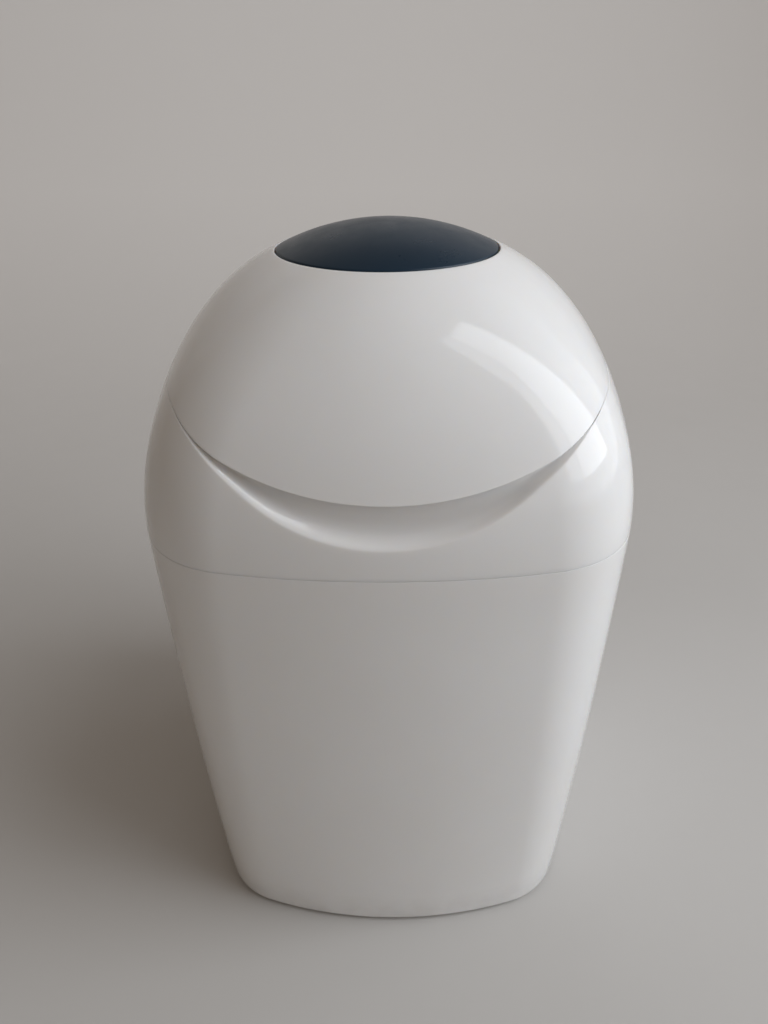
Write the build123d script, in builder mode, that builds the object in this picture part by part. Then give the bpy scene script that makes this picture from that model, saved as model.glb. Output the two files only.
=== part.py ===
"""Twist-to-wrap nappy bin: tub, hinged housing with a film cassette, and hinged domed lid.

Millimetres, +Z up. The origin is the centre of the base on the floor, and -Y is the front.
"""

from build123d import *
import os
from math import atan2, cos, pi, sin, sqrt, tan, radians

os.makedirs("parts", exist_ok=True)

# Overall form
seam_height = 318.0
base_half = 142.1
seam_half = 156.6
wall_bulge = 1.5
dome_rise = 158.9
dome_power = 2.05
dome_fullness = 2.32
base_flatness = 2.13
seam_flatness = 3.11
base_corner = 0.38
seam_corner = 0.432
rounding_power = 3.64
full_round = 0.998
base_round = 4.0
tub_sections = 5
dome_sections = 9

# Walls and gaps
wall = 3.0
seam_gap = 0.4
parting_gap = 0.8
ground_gap = 1.8
fit_gap = 0.3
running_gap = 0.05
weld = 0.5

# Disc in the top of the lid
disc_radius = 69.7
disc_gap = 0.3
disc_crown = 15.6
disc_lip = 0.4
disc_seat = 4.4
disc_wall = 2.5
disc_edge = 0.8
peg_radius = 3.0
peg_inset = 19.7
peg_reach = 3.0
peg_count = 4

# Parting line between lid and housing, seen from the front
parting_rise = 44.0
parting_dip_radius = 212.0
parting_dip_half = 118.0
parting_end_radius = 24.0

# Finger scoop below the lid's front edge
scoop_rise = 20.0
scoop_edge_radius = 118.0
scoop_arc_half = 72.0
scoop_half = 126.0
scoop_depth = 28.0
scoop_slope = 28.0
scoop_round_share = 0.43
scoop_fade_out = 1.5
scoop_sections = 9
scoop_wall_rise = 10.0
lid_clearance = 1.4

# Locating rim of the tub
rim_gap = 0.8
rim_wall = 2.2
rim_height = 7.0
rim_root = 12.0
rim_break_margin = 20.0

# Deck across the housing
deck_rise = 48.0
deck_wall = 3.0
deck_hole_gap = 6.0
ledge_wall = 3.3
ledge_reach = 11.0
scoop_ledge_reach = 5.0
seal_rim_gap = 6.0
seal_rim_wall = 2.5
seal_rim_height = 5.0

# Twist mechanism
throat_radius = 62.0
carrier_radius = 100.0
carrier_wall = 2.5
carrier_rise = 8.5
carrier_lip = 14.0
flange_reach = 10.0
tooth_count = 36
tooth_height = 3.0
tooth_length = 8.0
tooth_drop = 8.0
tooth_turn = 8.0
tooth_start = 1.5
ring_rim_height = 4.7
ring_rim_wall = 6.5
ring_wall = 2.2
ring_drop = 6.5
spigot_length = 4.0
grip_count = 6
grip_height = 9.0
grip_width = 10.0
grip_inner_gap = 7.0
grip_outer_gap = 9.0
grip_round = 1.5

# Cassette
cassette_throat_gap = 4.0
cassette_side_gap = 2.5
cassette_top_gap = 2.0
cassette_wall = 1.5
film_slot = 2.5
film_room = 0.7
film_top_room = 3.0
film_bevel = 2.0

# Mechanism cup below the deck
cup_gap = 9.5
cup_wall = 2.5
cup_depth = 58.0
cup_floor_wall = 3.0
cup_hole_gap = 4.0
cup_flange_reach = 8.5
cup_flange_wall = 3.7
cup_screw_count = 6
cup_screw_turn = 30.0
cup_screw_inset = 4.6
finger_count = 10
finger_tip_radius = 36.0
finger_drop = 18.0
finger_wall = 1.5
finger_slot = 6.0
finger_flange_reach = 14.0
finger_flange_wall = 2.5
finger_screw_count = 5
finger_screw_turn = 18.0

# Film cutter below the cup
cutter_width = 28.0
cutter_gap = 3.0
cutter_length = 21.0
cutter_height = 14.0
cutter_roof = 6.0
cutter_mouth = 12.0
cutter_slot = 1.6
cutter_slot_depth = 16.0
blade_wall = 0.6
blade_width = 13.0
blade_length = 8.0
blade_drop = 10.5
blade_bite = 2.7

# Liner and seal inside the lid
liner_gap = 0.5
liner_skirt = 18.0
liner_drop = 10.0
liner_wall = 2.0
seal_gap = 0.3
seal_height = 2.7
seal_width = 2.5
seal_bevel = 0.8
boss_circle = 60.0
boss_radius = 4.0
boss_count = 4
boss_turn = 45.0
pad_margin = 1.0

# Hinges
lid_axis_out = 3.17
lid_axis_rise = 1.26
lid_barrel_radius = 4.2
lid_notch = 0.6
body_axis_inset = 4.8
body_barrel_radius = 4.4
hinge_pin_radius = 1.6
hinge_half = 50.0
knuckle_count = 5
knuckle_gap = 0.5
pocket_margin = 25.0
pocket_reach = 12.0
pocket_gap = 0.5
web_wall = 5.6

# Click pawl
pawl_pin_out = 8.5
pawl_pin_y = -26.0
pawl_pin_head = 1.0
pawl_height = 7.0
pawl_gap = 0.6
pawl_boss_radius = 4.5
pawl_arm = 4.5
pawl_nose = 2.6
pawl_nose_y = -0.5
pawl_pin_radius = 1.5
shelf_wall = 3.8
shelf_reach = 12.0
shelf_front = -33.0
shelf_back = 7.0
spring_wall = 0.5
spring_set = 1.0
post_out = 8.0
post_y = -9.0
post_width = 3.0

# Snap clips between housing and tub
clip_y = -40.0
clip_width = 12.0
clip_wall = 0.8
clip_hook = 4.0
clip_bulge_rise = 3.0
clip_bend_rise = 24.0

# Fasteners and feet
screw_radius = 1.5
screw_length = 6.0
screw_head_radius = 3.2
screw_head_height = 2.0
deck_screw_side = 50.0
deck_screw_inset = 9.0
foot_radius = 12.0
foot_place = 92.0
foot_depth = 1.2
foot_bevel = 0.6


def outline_values(height):
    """Half width, radius of the four large arcs and radius of the corners at a height."""
    if height <= seam_height:
        share = height / seam_height
        half = base_half + (seam_half - base_half) * share + wall_bulge * 4 * share * (1 - share)
        flatness = base_flatness + (seam_flatness - base_flatness) * share
        corner = base_corner + (seam_corner - base_corner) * share
    else:
        rise = (height - seam_height) / dome_rise
        half = seam_half * (1 - rise**dome_power) ** (1 / dome_fullness)
        climb = (height - seam_height) / (disc_rim_height - seam_height)
        rounding = min(climb**rounding_power, full_round)
        flatness = 1 / ((1 - rounding) / seam_flatness + rounding)
        corner = (1 - rounding) * seam_corner + rounding
    return half, flatness * half, corner * half


def corner_centre(height):
    """Distance of a corner arc's centre from the axis, and the turn where it meets the large arc."""
    half, large, corner = outline_values(height)
    behind = large - half
    bend = large - corner
    centre = (sqrt(2 * bend**2 - behind**2) - behind) / 2
    return centre, atan2(centre, centre + behind)


def outline(height, inset=0.0, level=None):
    """The body's rounded square at a height, drawn in by the inset, on a level of its own."""
    half, large, corner = outline_values(height)
    centre, turn = corner_centre(height)

    def spot(x, y, radius, angle, quarter):
        along = x + radius * sin(angle)
        out = y - radius * cos(angle)
        swing = quarter * pi / 2
        return (along * cos(swing) - out * sin(swing), along * sin(swing) + out * cos(swing))

    with BuildSketch(Plane.XY.offset(height if level is None else level)) as face:
        with BuildLine():
            for quarter in range(4):
                front = [spot(0, large - half, large - inset, a, quarter) for a in (-turn, 0, turn)]
                ThreePointArc(*front)
                turns = (turn, pi / 4, pi / 2 - turn)
                side = [spot(centre, -centre, corner - inset, a, quarter) for a in turns]
                ThreePointArc(front[2], side[1], side[2])
        make_face()
    return face.sketch


def front_reach(x, height):
    """Y of the body's front surface at a sideways place and height."""
    half, large, corner = outline_values(height)
    centre, turn = corner_centre(height)
    if abs(x) <= large * sin(turn):
        return large - half - sqrt(large**2 - x**2)
    return -centre - sqrt(max(corner**2 - (abs(x) - centre) ** 2, 0))


def slope_inset(height, thickness):
    """Sideways inset that leaves a wall of the given thickness square to the surface."""
    step = 0.5
    change = (outline_values(height + step)[0] - outline_values(height - step)[0]) / (2 * step)
    return thickness * sqrt(1 + change**2)


def dome_level(half):
    """Height at which the dome has a half width."""
    return seam_height + dome_rise * (1 - (half / seam_half) ** dome_fullness) ** (1 / dome_power)


def sphere_height(radius, top, sphere):
    """Height of a ball's surface over a radius, from its top."""
    return top - sphere + sqrt(sphere**2 - radius**2)


def steps(low, high, count):
    """Evenly spaced values from low to high."""
    return [low + (high - low) * i / (count - 1) for i in range(count)]


def scoop_edge(x):
    """Height of the scoop's lower edge: an arc, then straight flanks."""
    flank = abs(x) - scoop_arc_half
    arc = min(abs(x), scoop_arc_half)
    rise = scoop_edge_radius - sqrt(scoop_edge_radius**2 - arc**2)
    slope = scoop_arc_half / sqrt(scoop_edge_radius**2 - scoop_arc_half**2)
    return scoop_low + rise + max(flank, 0) * slope


def scoop_profile(share, extra):
    """Side profile of the scoop at a share of its half width, grown by extra into the body."""
    x = share * (scoop_half + extra)
    edge_x = share * scoop_half
    edge_z = scoop_edge(edge_x)
    edge_y = front_reach(edge_x, edge_z)
    fade = 1 - share**2
    slope = radians(scoop_slope)
    low_z = edge_z - extra / cos(slope)
    back_y = edge_y + scoop_depth * fade - scoop_fade_out * share**2 + extra
    round_radius = scoop_round_share * (scoop_depth * fade + scoop_fade_out)
    setback = round_radius * tan((pi / 2 - slope) / 2)
    corner_z = low_z + (back_y - edge_y) * tan(slope)
    start = (back_y - setback * cos(slope), corner_z - setback * sin(slope))
    end = (back_y, corner_z + setback)
    out_y = -seam_half - scoop_depth
    out_z = low_z - (edge_y - out_y) * tan(slope)
    top_z = disc_floor
    with BuildSketch(Plane.YZ.offset(x)) as face:
        with BuildLine():
            Line((out_y, out_z), start)
            TangentArc(start, end, tangent=(cos(slope), sin(slope)))
            Polyline(end, (back_y, top_z), (out_y, top_z), (out_y, out_z))
        make_face()
    return face.sketch


def scoop_tool(extra):
    """Solid that hollows the scoop, grown by extra for its wall or a clearance behind it."""
    profiles = [scoop_profile(share, extra) for share in steps(-1, 1, scoop_sections)]
    return loft(profiles, mode=Mode.PRIVATE)


def parting_tool(drop):
    """Solid of everything above the parting line, lowered by a gap."""
    turn = parting_dip_half / parting_dip_radius
    dip_z = parting_front + parting_dip_radius * (1 - sqrt(1 - turn**2)) - drop
    end_x = parting_dip_half + parting_end_radius * turn
    end_z = dip_z + parting_end_radius * (1 - sqrt(1 - turn**2))
    side = 2 * seam_half
    with BuildSketch(Plane.XZ) as front:
        with BuildLine():
            low = ThreePointArc(
                (-parting_dip_half, dip_z), (0, parting_front - drop), (parting_dip_half, dip_z)
            )
            right = TangentArc((parting_dip_half, dip_z), (end_x, end_z), tangent=low % 1)
            Polyline(
                (end_x, end_z),
                (side, end_z),
                (side, total_height + wall),
                (-side, total_height + wall),
                (-side, end_z),
                (-end_x, end_z),
            )
            mirror(right, about=Plane.YZ)
        make_face()
    with BuildPart() as above:
        extrude(front.sketch, amount=side)
        with Locations((0, side / 2, (end_z + total_height + wall) / 2)):
            Box(2 * side, side, total_height + wall - end_z)
    return above.part, end_z


def body_loft(low, high, count, thickness=0.0):
    """Loft of the body's outline between two heights, drawn in by a wall thickness."""
    outlines = [outline(height, slope_inset(height, thickness)) for height in steps(low, high, count)]
    return loft(outlines, mode=Mode.PRIVATE)


def outline_slab(height, inset, low, high):
    """Straight-sided block that follows the body's outline at a height, between two levels."""
    return extrude(outline(height, inset, low), amount=high - low, mode=Mode.PRIVATE)


def body_ring(height, low, high, outer_inset, inner_inset):
    """Straight-sided ring that follows the body's outline at a height."""
    with BuildPart() as ring:
        add(outline_slab(height, outer_inset, low, high))
        add(outline_slab(height, inner_inset, low, high), mode=Mode.SUBTRACT)
    return ring.part


def spun(points):
    """Solid turned about the Z axis from a closed outline of radius and height pairs."""
    with BuildPart() as turned:
        with BuildSketch(Plane.XZ):
            with BuildLine():
                Polyline(*points, close=True)
            make_face()
        revolve(axis=Axis.Z)
    return turned.part


def ring_points(inner, outer, low, high):
    """Corners of a plain ring's section."""
    return [(inner, low), (outer, low), (outer, high), (inner, high)]


def side_prism(points, low, high):
    """Prism along X between two places, from a closed outline of Y and Z pairs."""
    with BuildPart() as prism:
        with BuildSketch(Plane.YZ.offset(low)):
            with BuildLine():
                Polyline(*points, close=True)
            make_face()
        extrude(amount=high - low)
    return prism.part


def round_bores(spots, low, high, radius):
    """Upright round rods or bores between two heights."""
    with BuildPart() as rods:
        with BuildSketch(Plane.XY.offset(low)):
            with Locations(*spots):
                Circle(radius)
        extrude(amount=high - low)
    return rods.part


def screw_group(spots, seat, up=True):
    """Pan-head screws on a seat, one solid each, with their heads above or below it."""
    way = 1 if up else -1
    with BuildPart() as group:
        with BuildSketch(Plane.XY.offset(seat)):
            with Locations(*spots):
                Circle(screw_head_radius)
        extrude(amount=way * screw_head_height)
        with BuildSketch(Plane.XY.offset(seat)):
            with Locations(*spots):
                Circle(screw_radius)
        extrude(amount=-way * screw_length)
    return group.part


def circle_spots(radius, count, start=0.0):
    """Evenly spaced places on a circle, from a starting angle in degrees."""
    turns = [radians(start) + 2 * pi * i / count for i in range(count)]
    return [(radius * cos(turn), radius * sin(turn)) for turn in turns]


def knuckles(first):
    """Every second stretch of a hinge's barrel, from the first or the second on."""
    length = 2 * hinge_half / knuckle_count
    lows = [-hinge_half + length * i for i in range(first, knuckle_count, 2)]
    return [(low + knuckle_gap / 2, low + length - knuckle_gap / 2) for low in lows]


def rods_along_x(axis_y, axis_z, radius, stretches):
    """Round rods along X about an axis, one for each stretch."""
    with BuildPart() as rods:
        for low, high in stretches:
            with BuildSketch(Plane((low, axis_y, axis_z), x_dir=(0, 1, 0), z_dir=(1, 0, 0))):
                Circle(radius)
            extrude(amount=high - low)
    return rods.part


def drill(spots, low, high, radius):
    """Cut upright round bores out of the part that is being built."""
    add(round_bores(spots, low, high, radius), mode=Mode.SUBTRACT)


def drill_along_x(axis_y, axis_z, radius, stretches):
    """Cut round bores along X out of the part that is being built."""
    add(rods_along_x(axis_y, axis_z, radius, stretches), mode=Mode.SUBTRACT)


def hinge_leaves(points, stretches):
    """Webs that carry a hinge's knuckles, from one side outline."""
    with BuildPart() as leaves:
        for low, high in stretches:
            add(side_prism(points, low, high))
    return leaves.part


def finish(piece, name):
    """Label a finished piece and write it."""
    piece.label = name
    export_step(piece, f"parts/{name}.step")


# Levels of the disc, lid, deck and mechanism, from the seam up and down
recess_radius = disc_radius + disc_gap
disc_rim_height = dome_level(recess_radius)
total_height = disc_rim_height + disc_crown
disc_floor = disc_rim_height - disc_seat
parting_front = seam_height + parting_rise
scoop_low = seam_height + scoop_rise
deck_bottom = seam_height + deck_rise
deck_top = deck_bottom + deck_wall
cup_floor = deck_bottom - cup_depth
carrier_floor = cup_floor + cup_floor_wall + carrier_rise
flange_low = deck_top + fit_gap
flange_top = flange_low + carrier_wall
tooth_top = deck_bottom - tooth_drop
cassette_low = carrier_floor + carrier_wall + fit_gap
cassette_top = flange_top - spigot_length - cassette_wall - cassette_top_gap
liner_low = deck_top + seal_rim_height + seal_gap + seal_height
liner_top = disc_floor - wall - liner_drop

# Radii of the mechanism, from its throat and carrier outwards
cassette_inner = throat_radius + cassette_throat_gap
cassette_outer = carrier_radius - carrier_wall - cassette_side_gap
flange_radius = carrier_radius + flange_reach
cup_hole = throat_radius + cup_hole_gap
cup_radius = carrier_radius + cup_gap
cup_inner = cup_radius - cup_wall
cup_flange_radius = cup_radius + cup_flange_reach
finger_flange = cup_hole + finger_flange_reach
seal_rim_radius = flange_radius + seal_rim_gap
liner_radius = seal_rim_radius + seal_rim_wall + liner_gap

# Shared forms and places
tub_outer = body_loft(ground_gap, seam_height, tub_sections)
dome_outer = body_loft(seam_height, disc_rim_height - disc_lip, dome_sections)
dome_inner = body_loft(seam_height, disc_floor - wall, dome_sections, wall)
above_parting, side_parting = parting_tool(0)
above_gap, _ = parting_tool(parting_gap)
scoop_cut = scoop_tool(0)

outer_knuckles = knuckles(0)
inner_knuckles = knuckles(1)
hinge_length = [(-hinge_half, hinge_half)]
pin_length = [(-hinge_half + fit_gap, hinge_half - fit_gap)]
body_axis_y = seam_half - body_axis_inset
body_axis_z = seam_height + seam_gap / 2
lid_axis_z = side_parting + lid_axis_rise
lid_axis_y = lid_axis_out - front_reach(0, lid_axis_z)
pocket_half = hinge_half + pocket_margin
rim_break = pocket_half + rim_break_margin
rim_outer_inset = wall + rim_gap
rim_inner_inset = rim_outer_inset + rim_wall
pocket_face = body_axis_y - body_barrel_radius - pocket_gap


def hinge_pocket(low, high, closed_low, closed_high):
    """Backing block and cut of the recess that takes the body hinge."""
    depth = seam_half - pocket_face
    block_depth = depth + wall
    with BuildPart() as block:
        with Locations((0, pocket_face - wall + block_depth / 2, (closed_low + closed_high) / 2)):
            Box(2 * (pocket_half + wall), block_depth, closed_high - closed_low)
    with BuildPart() as cut:
        with Locations((0, pocket_face + depth, (low + high) / 2)):
            Box(2 * pocket_half, 2 * depth, high - low)
    return block.part, cut.part


# Tub
tub_floor = seam_height - pocket_reach
tub_block, tub_cut = hinge_pocket(tub_floor, seam_height + rim_height, tub_floor - wall, seam_height)
foot_spots = [(x, y) for x in (-foot_place, foot_place) for y in (-foot_place, foot_place)]
web_y = (body_axis_y - web_wall / 2, body_axis_y + web_wall / 2)

with BuildPart() as tub_pocket:
    add(tub_block)
    add(tub_outer, mode=Mode.INTERSECT)

with BuildPart() as tub_shell:
    add(tub_outer)
    fillet(tub_shell.edges().group_by(Axis.Z)[0], base_round)
    add(body_loft(ground_gap + wall, seam_height, tub_sections, wall), mode=Mode.SUBTRACT)
    add(body_ring(seam_height, seam_height - rim_root, seam_height, wall - weld, rim_inner_inset))
    rim_levels = (seam_height - weld, seam_height + rim_height)
    add(body_ring(seam_height, *rim_levels, rim_outer_inset, rim_inner_inset))
    with Locations((0, seam_half, seam_height + rim_height)):
        Box(2 * rim_break, seam_half, 2 * rim_height, mode=Mode.SUBTRACT)
    add(tub_pocket.part)
    add(tub_cut, mode=Mode.SUBTRACT)
    tub_web = [
        (web_y[0], tub_floor - weld),
        (web_y[1], tub_floor - weld),
        (web_y[1], body_axis_z),
        (web_y[0], body_axis_z),
    ]
    add(hinge_leaves(tub_web, outer_knuckles))
    add(rods_along_x(body_axis_y, body_axis_z, body_barrel_radius, outer_knuckles))
    drill_along_x(body_axis_y, body_axis_z, hinge_pin_radius, hinge_length)
    drill(foot_spots, 0, ground_gap + foot_depth, foot_radius)
finish(tub_shell.part, "tub_shell")

with BuildPart() as base_feet:
    add(round_bores(foot_spots, 0, ground_gap + foot_depth, foot_radius))
    chamfer(base_feet.edges().group_by(Axis.Z)[0], foot_bevel)
finish(base_feet.part, "base_feet")

with BuildPart() as housing_hinge_pin:
    add(rods_along_x(body_axis_y, body_axis_z, hinge_pin_radius, pin_length))
finish(housing_hinge_pin.part, "housing_hinge_pin")

# Housing shell with its scoop, deck ledge and hinges
housing_low = seam_height + seam_gap
pocket_roof = seam_height + pocket_reach
housing_block, housing_cut = hinge_pocket(seam_height, pocket_roof, housing_low, pocket_roof + wall)

with BuildPart() as housing_form:
    add(dome_outer)
    add(above_gap, mode=Mode.SUBTRACT)

with BuildPart() as housing_pocket:
    add(housing_block)
    add(housing_form.part, mode=Mode.INTERSECT)

raised_parting, _ = parting_tool(-scoop_wall_rise)
with BuildPart() as scoop_wall:
    add(body_loft(seam_height, disc_floor - wall, dome_sections, wall + lid_clearance))
    add(raised_parting, mode=Mode.SUBTRACT)
    add(housing_form.part)
    add(scoop_tool(wall), mode=Mode.INTERSECT)

ledge_low = deck_bottom - ledge_wall
with BuildPart() as scoop_ledge:
    add(outline_slab(deck_bottom, wall / 2, ledge_low, deck_bottom))
    add(scoop_tool(wall + scoop_ledge_reach), mode=Mode.INTERSECT)

deck_screw_x = -front_reach(deck_screw_side, deck_bottom) - deck_screw_inset
deck_screw_sides = (-deck_screw_side, deck_screw_side)
deck_screw_spots = [(x, y) for x in (-deck_screw_x, deck_screw_x) for y in deck_screw_sides]
deck_screw_spots += [(x, deck_screw_x) for x in deck_screw_sides]

housing_web = [
    (web_y[0], body_axis_z),
    (web_y[1], body_axis_z),
    (web_y[1], pocket_roof + weld),
    (web_y[0], pocket_roof + weld),
]
lid_back = lid_axis_y + lid_barrel_radius
root_y = lid_axis_y - 2 * lid_barrel_radius
low_lid_web = [
    (root_y, lid_axis_z - 3 * lid_barrel_radius),
    (lid_axis_y - lid_barrel_radius / 2, lid_axis_z - 3 * lid_barrel_radius),
    (lid_back, lid_axis_z - lid_barrel_radius / 2),
    (lid_back, lid_axis_z),
    (lid_axis_y, lid_axis_z),
    (lid_axis_y - lid_barrel_radius, side_parting - parting_gap),
    (root_y, side_parting - parting_gap),
]

with BuildPart() as housing_shell:
    add(housing_form.part)
    add(hinge_leaves(low_lid_web, outer_knuckles))
    add(dome_inner, mode=Mode.SUBTRACT)
    add(scoop_wall.part)
    add(body_ring(deck_bottom, ledge_low, deck_bottom, wall / 2, wall + ledge_reach))
    add(scoop_ledge.part)
    add(housing_pocket.part)
    add(housing_cut, mode=Mode.SUBTRACT)
    add(scoop_cut, mode=Mode.SUBTRACT)
    with Locations((0, 0, seam_height)):
        Box(2 * seam_half + wall, 2 * seam_half + wall, 2 * seam_gap, mode=Mode.SUBTRACT)
    add(hinge_leaves(housing_web, inner_knuckles))
    add(rods_along_x(body_axis_y, body_axis_z, body_barrel_radius, inner_knuckles))
    drill_along_x(body_axis_y, body_axis_z, hinge_pin_radius + running_gap, hinge_length)
    wide_inner = [(low - knuckle_gap, high + knuckle_gap) for low, high in inner_knuckles]
    drill_along_x(lid_axis_y, lid_axis_z, lid_barrel_radius + lid_notch, wide_inner)
    add(rods_along_x(lid_axis_y, lid_axis_z, lid_barrel_radius, outer_knuckles))
    drill_along_x(lid_axis_y, lid_axis_z, hinge_pin_radius, hinge_length)
    drill(deck_screw_spots, deck_bottom - ledge_wall, deck_bottom, screw_radius)
finish(housing_shell.part, "housing_shell")

with BuildPart() as lid_hinge_pin:
    add(rods_along_x(lid_axis_y, lid_axis_z, hinge_pin_radius, pin_length))
finish(lid_hinge_pin.part, "lid_hinge_pin")

# Deck and its screws
cup_screw_spots = circle_spots(cup_flange_radius - cup_screw_inset, cup_screw_count, cup_screw_turn)
cup_flange_low = deck_bottom - cup_flange_wall
with BuildPart() as deck:
    add(outline_slab(deck_top, slope_inset(deck_top, wall) + fit_gap, deck_bottom, deck_top))
    seal_rim = ring_points(
        seal_rim_radius, seal_rim_radius + seal_rim_wall, deck_top - weld, deck_top + seal_rim_height
    )
    add(spun(seal_rim))
    drill([(0, 0)], deck_bottom, deck_top, carrier_radius + deck_hole_gap)
    add(scoop_tool(wall + fit_gap), mode=Mode.SUBTRACT)
    drill(deck_screw_spots, deck_bottom, deck_top, screw_radius + running_gap)
    pilot_top = cup_flange_low + screw_length
    drill(cup_screw_spots, deck_bottom, pilot_top, screw_radius)
finish(deck.part, "deck")

finish(screw_group(deck_screw_spots, deck_top), "deck_screws")
finish(screw_group(cup_screw_spots, cup_flange_low, up=False), "cup_screws")

# Mechanism cup with the pawl's shelf
pawl_pin_x = cup_radius + pawl_pin_out
pawl_spot = [(pawl_pin_x, pawl_pin_y)]
shelf_out = pawl_pin_x + shelf_reach
post_x = pawl_pin_x + post_out
pawl_low = tooth_top - tooth_length + pawl_gap
shelf_top = pawl_low - pawl_gap
finger_flange_low = cup_floor - finger_flange_wall
finger_screw_spots = circle_spots((cup_hole + finger_flange) / 2, finger_screw_count, finger_screw_turn)
with BuildPart() as mechanism_cup:
    add(
        spun(
            [
                (cup_hole, cup_floor),
                (cup_radius, cup_floor),
                (cup_radius, cup_flange_low),
                (cup_flange_radius, cup_flange_low),
                (cup_flange_radius, deck_bottom),
                (cup_inner, deck_bottom),
                (cup_inner, cup_floor + cup_floor_wall),
                (cup_hole, cup_floor + cup_floor_wall),
            ]
        )
    )
    window_top = tooth_top + pawl_gap
    window_width = shelf_back + pawl_boss_radius
    with Locations((cup_inner, shelf_back - window_width / 2, (shelf_top + window_top) / 2)):
        Box(4 * cup_wall, window_width, window_top - shelf_top, mode=Mode.SUBTRACT)
    shelf_in = cup_radius - cup_wall / 2
    shelf_low = shelf_top - shelf_wall
    shelf_middle = (shelf_front + shelf_back) / 2
    with Locations(((shelf_in + shelf_out) / 2, shelf_middle, shelf_low + shelf_wall / 2)):
        Box(shelf_out - shelf_in, shelf_back - shelf_front, shelf_wall)
    drill([(0, 0)], shelf_low, shelf_top, cup_inner)
    with Locations((post_x + post_width / 2, post_y, shelf_top + pawl_height / 2)):
        Box(post_width, post_width, pawl_height + weld)
    drill(pawl_spot, shelf_low, shelf_top, pawl_pin_radius)
    drill(cup_screw_spots, cup_flange_low, deck_bottom, screw_radius + running_gap)
    drill(finger_screw_spots, cup_floor, cup_floor + cup_floor_wall, screw_radius)
finish(mechanism_cup.part, "mechanism_cup")

with BuildPart() as pawl_pin:
    pin_top = pawl_low + pawl_height + pawl_pin_head
    add(round_bores(pawl_spot, shelf_low, pin_top, pawl_pin_radius))
finish(pawl_pin.part, "pawl_pin")

with BuildPart() as click_pawl:
    arm_x = pawl_pin_x - pawl_boss_radius
    nose_y = (pawl_nose_y, pawl_nose_y + pawl_nose)
    with BuildSketch(Plane.XY.offset(pawl_low)):
        with Locations(*pawl_spot):
            Circle(pawl_boss_radius)
        with BuildLine():
            Polyline(
                (arm_x, pawl_pin_y),
                (arm_x + pawl_arm, pawl_pin_y),
                (arm_x + pawl_arm, nose_y[1]),
                (carrier_radius + 2 * pawl_gap, nose_y[1]),
                (carrier_radius + pawl_gap, nose_y[0]),
                (arm_x, nose_y[0]),
                close=True,
            )
        make_face()
        with Locations(*pawl_spot):
            Circle(pawl_pin_radius + running_gap, mode=Mode.SUBTRACT)
    extrude(amount=pawl_height)
finish(click_pawl.part, "click_pawl")

with BuildPart() as pawl_spring:
    with BuildSketch(Plane.XY.offset(pawl_low)):
        with BuildLine():
            Polyline(
                (post_x - spring_wall, post_y - post_width / 2),
                (post_x - spring_wall, post_y + post_width / 2),
                (arm_x + pawl_arm + spring_wall, nose_y[0]),
            )
        trace(line_width=spring_wall)
    extrude(amount=pawl_height - spring_set)
finish(pawl_spring.part, "pawl_spring")

# Fingers that hold the wrapped nappies down
with BuildPart() as retaining_fingers:
    slope_turn = atan2(finger_drop, cup_hole - finger_tip_radius)
    skin = finger_wall / sin(pi / 2 - slope_turn)
    add(
        spun(
            [
                (finger_flange, finger_flange_low),
                (finger_flange, cup_floor),
                (cup_hole - finger_wall, cup_floor),
                (finger_tip_radius, cup_floor - finger_drop),
                (finger_tip_radius, cup_floor - finger_drop - skin),
                (cup_hole + skin, finger_flange_low),
            ]
        )
    )
    with BuildSketch(Plane.XY.offset(cup_floor - 2 * finger_drop)):
        with PolarLocations(0, finger_count):
            with Locations(((finger_tip_radius + cup_hole) / 2 - finger_slot, 0)):
                SlotOverall(cup_hole - finger_tip_radius + finger_slot, finger_slot)
    extrude(amount=2 * finger_drop, mode=Mode.SUBTRACT)
    drill(finger_screw_spots, finger_flange_low, cup_floor, screw_radius + running_gap)
finish(retaining_fingers.part, "retaining_fingers")
finish(screw_group(finger_screw_spots, finger_flange_low, up=False), "finger_screws")

# Film cutter
cutter_back = finger_flange + cutter_gap
cutter_low = cup_floor - cutter_height
blade_z = cup_floor - blade_drop
blade_front = -cutter_back - cutter_slot_depth - blade_bite
with BuildPart() as cutter_blade:
    with Locations((0, blade_front + blade_length / 2, blade_z)):
        Box(blade_width, blade_length, blade_wall)
finish(cutter_blade.part, "cutter_blade")

with BuildPart() as cutter_guard:
    with Locations((0, -cutter_back - cutter_length / 2, cup_floor - cutter_height / 2)):
        Box(cutter_width, cutter_length, cutter_height)
    with BuildSketch(Plane.XY.offset(cutter_low)):
        with BuildLine():
            Polyline(
                (-cutter_mouth / 2, -cutter_back),
                (cutter_mouth / 2, -cutter_back),
                (cutter_slot / 2, -cutter_back - cutter_slot_depth / 2),
                (cutter_slot / 2, -cutter_back - cutter_slot_depth),
                (-cutter_slot / 2, -cutter_back - cutter_slot_depth),
                (-cutter_slot / 2, -cutter_back - cutter_slot_depth / 2),
                close=True,
            )
        make_face()
    extrude(amount=cutter_height - cutter_roof, mode=Mode.SUBTRACT)
    add(cutter_blade.part, mode=Mode.SUBTRACT)
finish(cutter_guard.part, "cutter_guard")

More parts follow.
